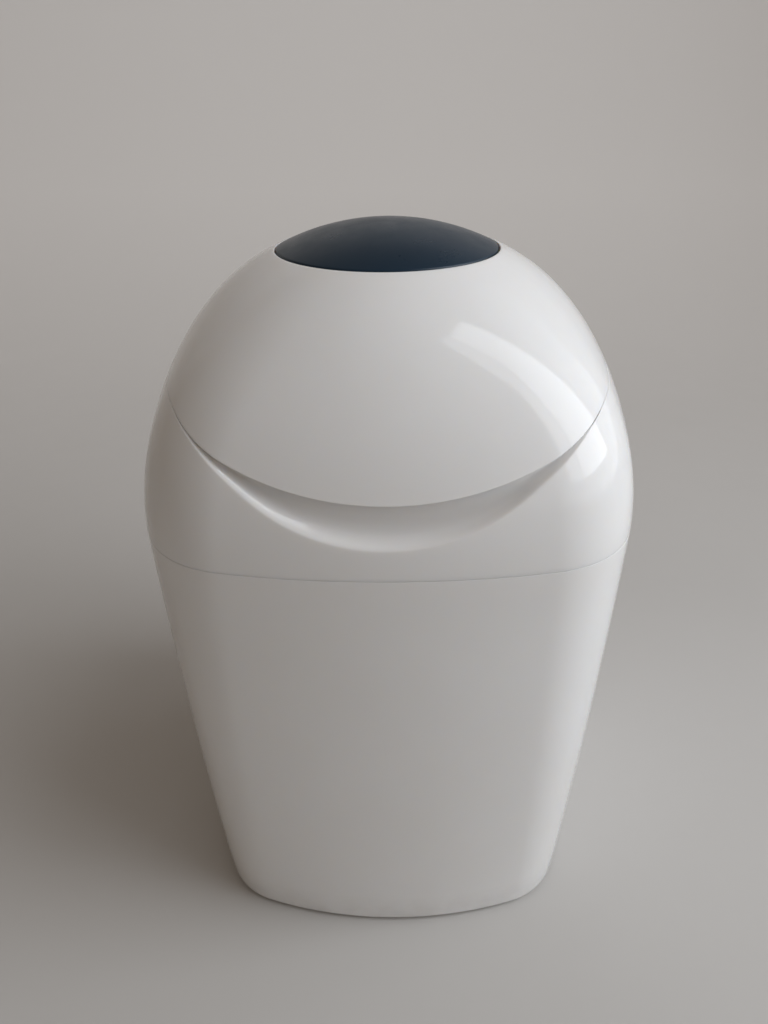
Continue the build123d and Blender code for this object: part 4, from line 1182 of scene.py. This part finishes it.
@dataclass
class LidAssembly:
    """Domed lid: shell with a round recess, dark disc, inner liner and odour seal."""

    wall: float = 3.0
    ceiling: float = 457.0
    floor: float = 460.0
    rim: float = 464.0
    recess_radius: float = 70.0
    disc_radius: float = 69.0
    disc_edge: float = 1.2
    edge_soft: float = 0.5
    rim_soft: float = 0.8
    corner_soft: float = 0.4
    edge_lead: float = 0.6
    knuckle_room: float = 0.2
    disc_lift: float = 0.3
    crown_margin: float = 1.6
    crown_steps: int = 40
    web_root: float = -1.5
    samples: int = 160
    rows: int = 44
    inner_rows: int = 22
    columns: tuple[int, int] = (112, 56)

    def lower_edge(self, column: float) -> float:
        """Height of the lid's lower edge at a column, higher where the housing's knuckles turn."""
        level = FORM.level(column, PARTING.height, 395.0)
        place = FORM.point(column, level)
        if place.y > 0 and within(place.x, HINGES.cut_spans(0)):
            return HINGES.lid_z + HINGES.lid_radius + self.knuckle_room
        return level

    def even_heights(self, low: float, high: float, count: int) -> list[float]:
        """Heights that lie evenly along the dome's profile."""
        samples = spaced(low, high, self.samples)
        lengths = [0.0]
        for below, above in zip(samples, samples[1:]):
            run = FORM.values(above)[0] - FORM.values(below)[0]
            lengths.append(lengths[-1] + sqrt((above - below) ** 2 + run**2))
        heights, k = [], 0
        for want in spaced(0.0, lengths[-1], count):
            while k < len(lengths) - 2 and lengths[k + 1] < want:
                k += 1
            share = (want - lengths[k]) / max(lengths[k + 1] - lengths[k], 1e-9)
            heights.append(samples[k] + (samples[k + 1] - samples[k]) * min(share, 1.0))
        return heights

    def profile(self, column: float) -> Path:
        """Path from the middle of the recess, over the rim, down the outside and back up inside."""
        low, soft = self.lower_edge(column), self.edge_soft
        start = low + soft + self.edge_lead
        edge = FORM.point(column, self.rim)
        brink = Vector((edge.x, edge.y, 0)).normalized() * self.recess_radius
        outer = [FORM.point(column, z) for z in reversed(self.even_heights(start, self.rim - 0.8, self.rows))]
        path = [Vector((*(brink * share).xy, self.floor)) for share in (0.0, 0.5, 0.9)]
        corners = [(path[-1], 0), (Vector((*brink.xy, self.floor)), self.corner_soft),
                   (Vector((*brink.xy, self.rim)), self.rim_soft), (edge, self.rim_soft), (outer[0], 0)]
        path += softened(corners)[1:-1] + outer
        inner = [FORM.point(column, z, FORM.slope_inset(z, self.wall))
                 for z in self.even_heights(start, self.ceiling - 0.2, self.inner_rows)]
        insets = (0.0, FORM.slope_inset(low, self.wall))
        bottom_out, bottom_in = (FORM.point(column, low, inset) for inset in insets)
        path += softened([(outer[-1], 0), (bottom_out, soft), (bottom_in, soft), (inner[0], 0)])[1:-1]
        return path + inner + [Vector((*(inner[-1] * share).xy, self.ceiling)) for share in (0.5, 0.0)]

    def webs(self) -> list[bpy.types.Object]:
        """Webs that carry the lid's knuckles."""
        radius, y, z = HINGES.lid_radius, HINGES.lid_y, HINGES.lid_z
        low, high = PARTING.height(0, 1) + 0.3, z + 2 * radius
        foot, head = (-FORM.reach(0, height) + self.web_root for height in (low, high))
        outline = [(foot, low), (y, low), (y + radius, z + radius / 2), (y - radius + 1.0, high),
                   (head, high)]
        return HINGES.webs("web", outline, 1)

    def disc(self) -> bpy.types.Object:
        """Crowned disc with a softened edge, let into the recess."""
        top, radius, low = FORM.total_height, self.disc_radius, self.floor + self.disc_lift
        rise = top - FORM.rim_height
        ball = (radius**2 + rise**2) / (2 * rise)
        radii = spaced(0.0, radius - self.crown_margin, self.crown_steps)
        crown = [(r, top - ball + sqrt(ball**2 - r**2), 0.0) for r in radii]
        edge_z = top - ball + sqrt(ball**2 - radius**2)
        skirt = [(radius, edge_z, self.disc_edge), (radius, low, self.disc_lift), (radius * 0.9, low, 0.0),
                 (0.0, low, 0.0)]
        return turned("disc", crown + skirt, sides=200, looped=False, rounds=8)

    def build(self) -> None:
        """Makes the lid's pieces and dresses what it keeps from the frame."""
        rear = PARTING.height(0, 1)
        steps = [(x, rear) for span in HINGES.cut_spans(0) for x in span]
        columns = body_columns(*self.columns, steps)
        shell = new_piece("lid_wall", *skin([self.profile(c) for c in columns], False), crease=50)
        parts = [shell, *self.webs(), *HINGES.knuckles("knuckle", 1, lid=True)]
        mount(joined("lid", parts), "lid", "white_shell", Finish.WHITE_SHELL, "lid_shell")
        mount(self.disc(), "lid", "dark_disc", Finish.DARK_DISC, "lid_disc")
        dress_node("lid_liner", Finish.INNER_PALE)
        dress_node("lid_seal", Finish.SEAL)


@dataclass
class TwistAssembly:
    """Turning parts: ratchet carrier, grip ring and the film cassette in it."""

    throat: float = 62.0
    flange: float = 110.0
    ring_low: float = 371.8
    ring_top: float = 376.5
    rim_wall: float = 6.5
    lip_top: float = 370.0
    lip_radius: float = 66.0
    ring_wall: float = 2.2
    spigot: float = 97.2
    spigot_low: float = 367.8
    grip_count: int = 6
    grip_span: tuple[float, float] = (73.0, 101.0)
    grip_width: float = 10.0
    grip_height: float = 9.0
    grip_swell: float = 0.55
    grip_root: float = 1.5
    grip_rise: tuple[float, float] = (2.0, 0.75)
    grip_foot_soft: float = 0.3
    grip_head_soft: float = 2.6
    grip_steps: int = 15
    film_inner: float = 68.2
    film_outer: float = 92.8
    film_low: float = 324.5
    film_layers: int = 26
    film_pitch: float = 1.4
    film_share: float = 0.45
    film_stray: float = 0.0035

    def grip(self) -> bpy.types.Object:
        """Master of one grip: a rounded rib that swells up out of the dished ring."""
        near, far = self.grip_span
        base, rim = self.lip_top - self.grip_root, self.ring_top - self.ring_wall
        foot, head = self.grip_foot_soft, self.grip_head_soft
        least, gain = self.grip_rise
        sections = []
        for share in spaced(0.0, 1.0, self.grip_steps):
            radius = near + (far - near) * share
            swell = sin(pi * share) ** self.grip_swell if 0 < share < 1 else 0.0
            floor = base + (rim - base) * share
            height = floor + least + self.grip_height * gain * swell
            width = self.grip_width / 2 * (self.grip_swell + (1 - self.grip_swell) * swell)
            corners = ((0, floor, 0), (-width, floor, foot), (-width * 0.8, height, head),
                       (width * 0.8, height, head), (width, floor, foot), (0, floor, 0))
            sections.append(softened([(Vector((radius, y, z)), soft) for y, z, soft in corners], 6)[:-1])
        return lofted("grip_master", sections)

    def ring(self) -> bpy.types.Object:
        """Dished ring with a rolled outer rim and a lip that drops into the throat."""
        top, wall, lip = self.ring_top, self.ring_wall, self.lip_top
        corners = [
            (self.flange, self.ring_low, 0.4), (self.flange, top, 1.8),
            (self.flange - self.rim_wall, top, 1.6), (self.lip_radius, lip, 3.0),
            (self.throat, lip - 2 * wall, 0.5), (self.throat + wall, lip - 2 * wall, 0.4),
            (self.lip_radius + wall / 2, lip - wall, 1.0), (self.spigot - wall, top - 2 * wall, 0.6),
            (self.spigot - wall, self.spigot_low, 0.3), (self.spigot, self.spigot_low, 0.3),
            (self.spigot, self.ring_low, 0.3),
        ]
        return turned("ring_base", corners, sides=180, rounds=5)

    def build(self) -> None:
        """Makes the ring and the film and dresses what it keeps from the frame."""
        master = self.grip()
        pattern = ring_pattern("grips_round_the_ring", Finish.GREY_PART)
        grips = pattern.grow("grips", master, Count=self.grip_count, First_angle=0.0)
        bpy.data.objects.remove(master)
        dressed = joined("twist_ring_dressed", [self.ring(), grips])
        mount(dressed, "rotor", "grey_plastic", Finish.GREY_PART, "twist_ring")
        low, high = self.film_low, self.film_low + self.film_pitch * self.film_share
        section = [(self.film_inner, low, 0.0), (self.film_outer, low, 0.5), (self.film_outer, high, 0.5),
                   (self.film_inner, high, 0.0)]
        layer = turned("film_master", section, sides=96, rounds=2)
        pattern = stack_pattern("film_layers", Finish.FILM)
        film = pattern.grow("film_folds", layer, Count=self.film_layers, Pitch=self.film_pitch * MM,
                            Stray=self.film_stray, Seed=11)
        bpy.data.objects.remove(layer)
        mount(film, "rotor", "film", None, "film_pack")
        dress_node("cassette_carrier", Finish.GREY_PART)
        for node in ("cassette_tub", "cassette_cap"):
            dress_node(node, Finish.CASSETTE)


@dataclass
class Fasteners:
    """Pan-head screws of the deck, cup, fingers and liner."""

    head_radius: float = 3.2
    head_height: float = 2.0
    shank_radius: float = 1.5
    shank_length: float = 6.0
    slot_width: float = 0.9
    slot_length: float = 3.4
    slot_depth: float = 1.1
    deck_side: float = 50.0
    deck_low: float = 366.0
    deck_seat: float = 369.0
    deck_inset: float = 9.0
    cup_circle: float = 113.4
    cup_seat: float = 362.3
    finger_circle: float = 73.0
    finger_seat: float = 305.5
    boss_circle: float = 60.0
    loose_turn: float = 0.7
    crease: float = 30.0

    def master(self) -> bpy.types.Object:
        """Master screw, head up, with a cross recess."""
        head, high, shank, long = self.head_radius, self.head_height, self.shank_radius, self.shank_length
        section = [(0.0, high, 0.0), (head * 0.55, high, 0.6), (head * 0.97, high * 0.55, 0.8),
                   (head, 0.0, 0.2), (shank, 0.0, 0.0), (shank, -long + 0.8, 0.0), (shank * 0.4, -long, 0.0),
                   (0.0, -long, 0.0)]
        screw = turned("screw_master", section, sides=20, looped=False, rounds=2)
        tools = []
        for turn in (0.0, pi / 2):
            box = bmesh.new()
            bmesh.ops.create_cube(box, size=1.0)
            sides = (self.slot_length * MM, self.slot_width * MM, 2 * self.slot_depth * MM)
            size = Matrix.Diagonal((*sides, 1.0))
            box.transform(Matrix.Rotation(turn, 4, "Z") @ Matrix.Translation((0, 0, high * MM)) @ size)
            mesh = bpy.data.meshes.new("slot")
            box.to_mesh(mesh)
            box.free()
            tools.append(linked("slot", mesh))
            cut = screw.modifiers.new("slot", "BOOLEAN")
            cut.object, cut.operation, cut.solver = tools[-1], "DIFFERENCE", "EXACT"
        shaped = evaluated(screw)
        for thing in (screw, *tools):
            bpy.data.objects.remove(thing)
        return settle("screw_master", shaped, self.crease)

    def build(self) -> None:
        """Grows each group of screws from one master."""
        master = self.master()
        pattern = repeat_pattern("screws_on_spots", Finish.STEEL)
        deck_x = -FORM.reach(self.deck_side, self.deck_low) - self.deck_inset
        sides = (-self.deck_side, self.deck_side)
        deck = [Vector((x, y, self.deck_seat)) for x in (-deck_x, deck_x) for y in sides]
        deck += [Vector((x, deck_x, self.deck_seat)) for x in sides]
        boss_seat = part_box("liner_screws")[1].z / MM - self.shank_length
        groups = (
            ("deck_screws", "housing", deck, False, 3),
            ("cup_screws", "housing", circle_spots(self.cup_circle, 6, 30, self.cup_seat), True, 5),
            ("finger_screws", "housing", circle_spots(self.finger_circle, 5, 18, self.finger_seat), True, 7),
            ("liner_screws", "lid", circle_spots(self.boss_circle, 4, 45, boss_seat), True, 9),
        )
        for node, body, spots, below, seed in groups:
            tip = (pi, 0.0, 0.0) if below else (0.0, 0.0, 0.0)
            screws = pattern.grow(f"{node}_dressed", master, spots, self.crease, Tip=tip, Scale=1.0,
                                  Loose_turn=self.loose_turn, Seed=seed)
            mount(screws, body, "steel", None, node)
        bpy.data.objects.remove(master)


@dataclass
class FingerRing:
    """Ring of springy petals under the cup that hold the wrapped nappies down."""

    hole: float = 66.0
    tip: float = 36.0
    flange: float = 80.0
    flange_low: float = 305.5
    flange_top: float = 308.0
    drop: float = 18.0
    wall: float = 1.5
    count: int = 10
    slot: float = 6.0
    root: float = 1.5
    sink: float = 0.3
    droop: float = 1.15
    tip_start: float = 0.86
    tip_narrowing: float = 0.35
    dish: float = 0.8
    steps: tuple[int, int] = (13, 9)

    def petal(self) -> bpy.types.Object:
        """Master petal: a curved, tapering tongue with a rounded tip and a stiffening crease."""
        sections = []
        begin = self.hole + self.root
        for share in spaced(0.0, 1.0, self.steps[0]):
            radius = begin - (begin - self.tip) * share
            top = self.flange_top - self.sink - self.drop * share**self.droop
            half = pi / self.count - (self.slot / 2) / radius * min(1.0, share * 5)
            half *= 1 - self.tip_narrowing * max(share - self.tip_start, 0.0) / (1 - self.tip_start)
            row = []
            for a in spaced(-half, half, self.steps[1]):
                dip = self.dish * cos(a / half * pi / 2) * share
                row.append(Vector((radius * cos(a), radius * sin(a), top - dip)))
            sections.append(row + [p - Vector((0, 0, self.wall)) for p in reversed(row)])
        return lofted("petal_master", sections)

    def build(self) -> None:
        """Grows the petals round their flange."""
        master = self.petal()
        pattern = ring_pattern("petals_round_the_throat", Finish.INNER_PALE)
        petals = pattern.grow("petals", master, Count=self.count, First_angle=pi / self.count)
        bpy.data.objects.remove(master)
        low, top = self.flange_low, self.flange_top
        section = [(self.hole, low, 0.4), (self.flange, low, 0.5), (self.flange, top, 0.2),
                   (self.hole, top, 0.4)]
        dressed = joined("retaining_petals", [turned("petal_flange", section, sides=120), petals])
        mount(dressed, "housing", "deck_plastic", Finish.INNER_PALE, "retaining_fingers")


@dataclass
class PawlAssembly:
    """Click pawl that runs over the ratchet teeth."""

    def build(self) -> None:
        """Dresses the pawl."""
        dress_node("click_pawl", Finish.GREY_PART)


# ---- Studio ----


@dataclass
class Studio:
    """Pale floor and wall, soft window light from the right, and the camera above the front."""

    camera_place: tuple[float, float, float] = (0.0057, -0.5162, 0.5654)
    camera_aim: tuple[float, float, float] = (-0.0166, 0.8703, -0.4921)
    camera_roll: float = -0.75
    lens: float = 28.14
    wall_distance: float = 2.6
    floor_reach: float = 4.0
    wall_height: float = 3.0
    bend: float = 1.7
    window_distance: float = 1.35
    window_reach: tuple[float, float] = (4.0, 71.0)
    window_colour: Colour = (0.90, 0.945, 1.0)
    panes: tuple[tuple[str, float, float, float], ...] = (
        ("window", 77.5, 17.0, 11.0),
        ("side_pane", 53.0, 6.0, 6.5),
    )
    dome_height: float = 0.40
    # Near colour, its uneven tone, and the lighter back colour that is painted light on the far floor and
    # wall.
    paint: tuple[Colour, Colour, Colour] = ((0.56, 0.545, 0.525), (0.54, 0.525, 0.503), (0.82, 0.80, 0.775))
    bend_points: int = 24
    sensor_width: float = 36.0
    clip: tuple[float, float] = (0.01, 20.0)
    room_start: float = 0.1
    backing: Colour = (0.42, 0.41, 0.395)
    room_colour: Colour = (0.215, 0.18, 0.149)
    sky_colour: Colour = (1.27, 1.31, 1.38)
    light_side: float = 88.0
    light_lift: float = -0.15

    def backdrop(self) -> None:
        """Floor that curves up into a wall behind the bin."""
        profile = [(-self.floor_reach, 0.0), (self.wall_distance - self.bend, 0.0)]
        profile += [(self.wall_distance - self.bend + self.bend * sin(a), self.bend * (1 - cos(a)))
                    for a in spaced(0.0, pi / 2, self.bend_points)[1:]]
        profile.append((self.wall_distance, self.wall_height))
        verts = [Vector((x, y, z)) for x in (-self.floor_reach, self.floor_reach) for y, z in profile]
        count = len(profile)
        faces = [[i, i + 1, count + i + 1, count + i] for i in range(count - 1)]
        mesh = bpy.data.meshes.new("backdrop")
        mesh.from_pydata(verts, [], faces)
        for face in mesh.polygons:
            face.use_smooth = True
        floor = linked("backdrop", mesh)
        mesh.materials.append(StudioPaint("studio_paint", *self.paint).make())

    def lights(self) -> None:
        """Tall soft window with a dimmer side pane on the right, and a dim warm room."""
        low, high = (self.dome_height + self.window_distance * tan(radians(a)) for a in self.window_reach)
        for name, bearing, spread, level in self.panes:
            turn = radians(bearing)
            away = Vector((sin(turn), -cos(turn), 0.0))
            lamp = bpy.data.lights.new(name, "AREA")
            lamp.shape = "RECTANGLE"
            lamp.size, lamp.size_y = 2 * self.window_distance * tan(radians(spread)), high - low
            lamp.energy = level * lamp.size * lamp.size_y
            lamp.color = self.window_colour
            holder = linked(name, lamp)
            holder.location = away * self.window_distance + Vector((0, 0, (low + high) / 2))
            holder.rotation_euler = (-away).to_track_quat("-Z", "Y").to_euler()
        self.room()

    def room(self) -> None:
        """Dim warm room, lighter and cooler towards the window, with a plain backing for the camera."""
        world = bpy.data.worlds.new("soft_room")
        bpy.context.scene.world = world
        world.use_nodes = True
        tree = Tree(world.node_tree)
        turn = radians(self.light_side)
        window = Vector((sin(turn), -cos(turn), self.light_lift)).normalized()
        ray = tree.add("ShaderNodeTexCoord").outputs["Generated"]
        towards = tree.add("ShaderNodeVectorMath", {0: ray, 1: window}, operation="DOT_PRODUCT")
        inputs = {"Value": towards.outputs["Value"], "From Min": self.room_start}
        share = tree.add("ShaderNodeMapRange", inputs, interpolation_type="SMOOTHSTEP").outputs["Result"]
        lit = tree.blend(share, self.room_colour, self.sky_colour)
        seen = tree.add("ShaderNodeLightPath").outputs["Is Camera Ray"]
        tree.feed(tree.blend(seen, lit, self.backing), world.node_tree.nodes["Background"].inputs["Color"])

    def camera(self) -> None:
        """Camera at the photograph's place and angle."""
        data = bpy.data.cameras.new("camera")
        data.lens, data.sensor_width = self.lens, self.sensor_width
        data.clip_start, data.clip_end = self.clip
        holder = linked("camera", data)
        aim = Vector(self.camera_aim).to_track_quat("-Z", "Y").to_matrix()
        turn = aim @ Matrix.Rotation(radians(self.camera_roll), 3, "Z")
        holder.matrix_world = Matrix.Translation(self.camera_place) @ turn.to_4x4()
        bpy.context.scene.camera = holder

    def build(self) -> None:
        """Sets the stage, the lamps and the camera."""
        self.backdrop()
        self.lights()
        self.camera()
        bpy.context.scene.view_settings.view_transform = "Standard"
        log.info("studio set")


def main() -> None:
    """Builds and dresses the whole bin in order."""
    logging.basicConfig(level=logging.INFO, format="%(name)s: %(message)s")
    for assembly in (TubAssembly, HousingAssembly, LidAssembly, TwistAssembly, FingerRing, Fasteners,
                     PawlAssembly, Studio):
        assembly().build()


if __name__ == "__main__":
    main()
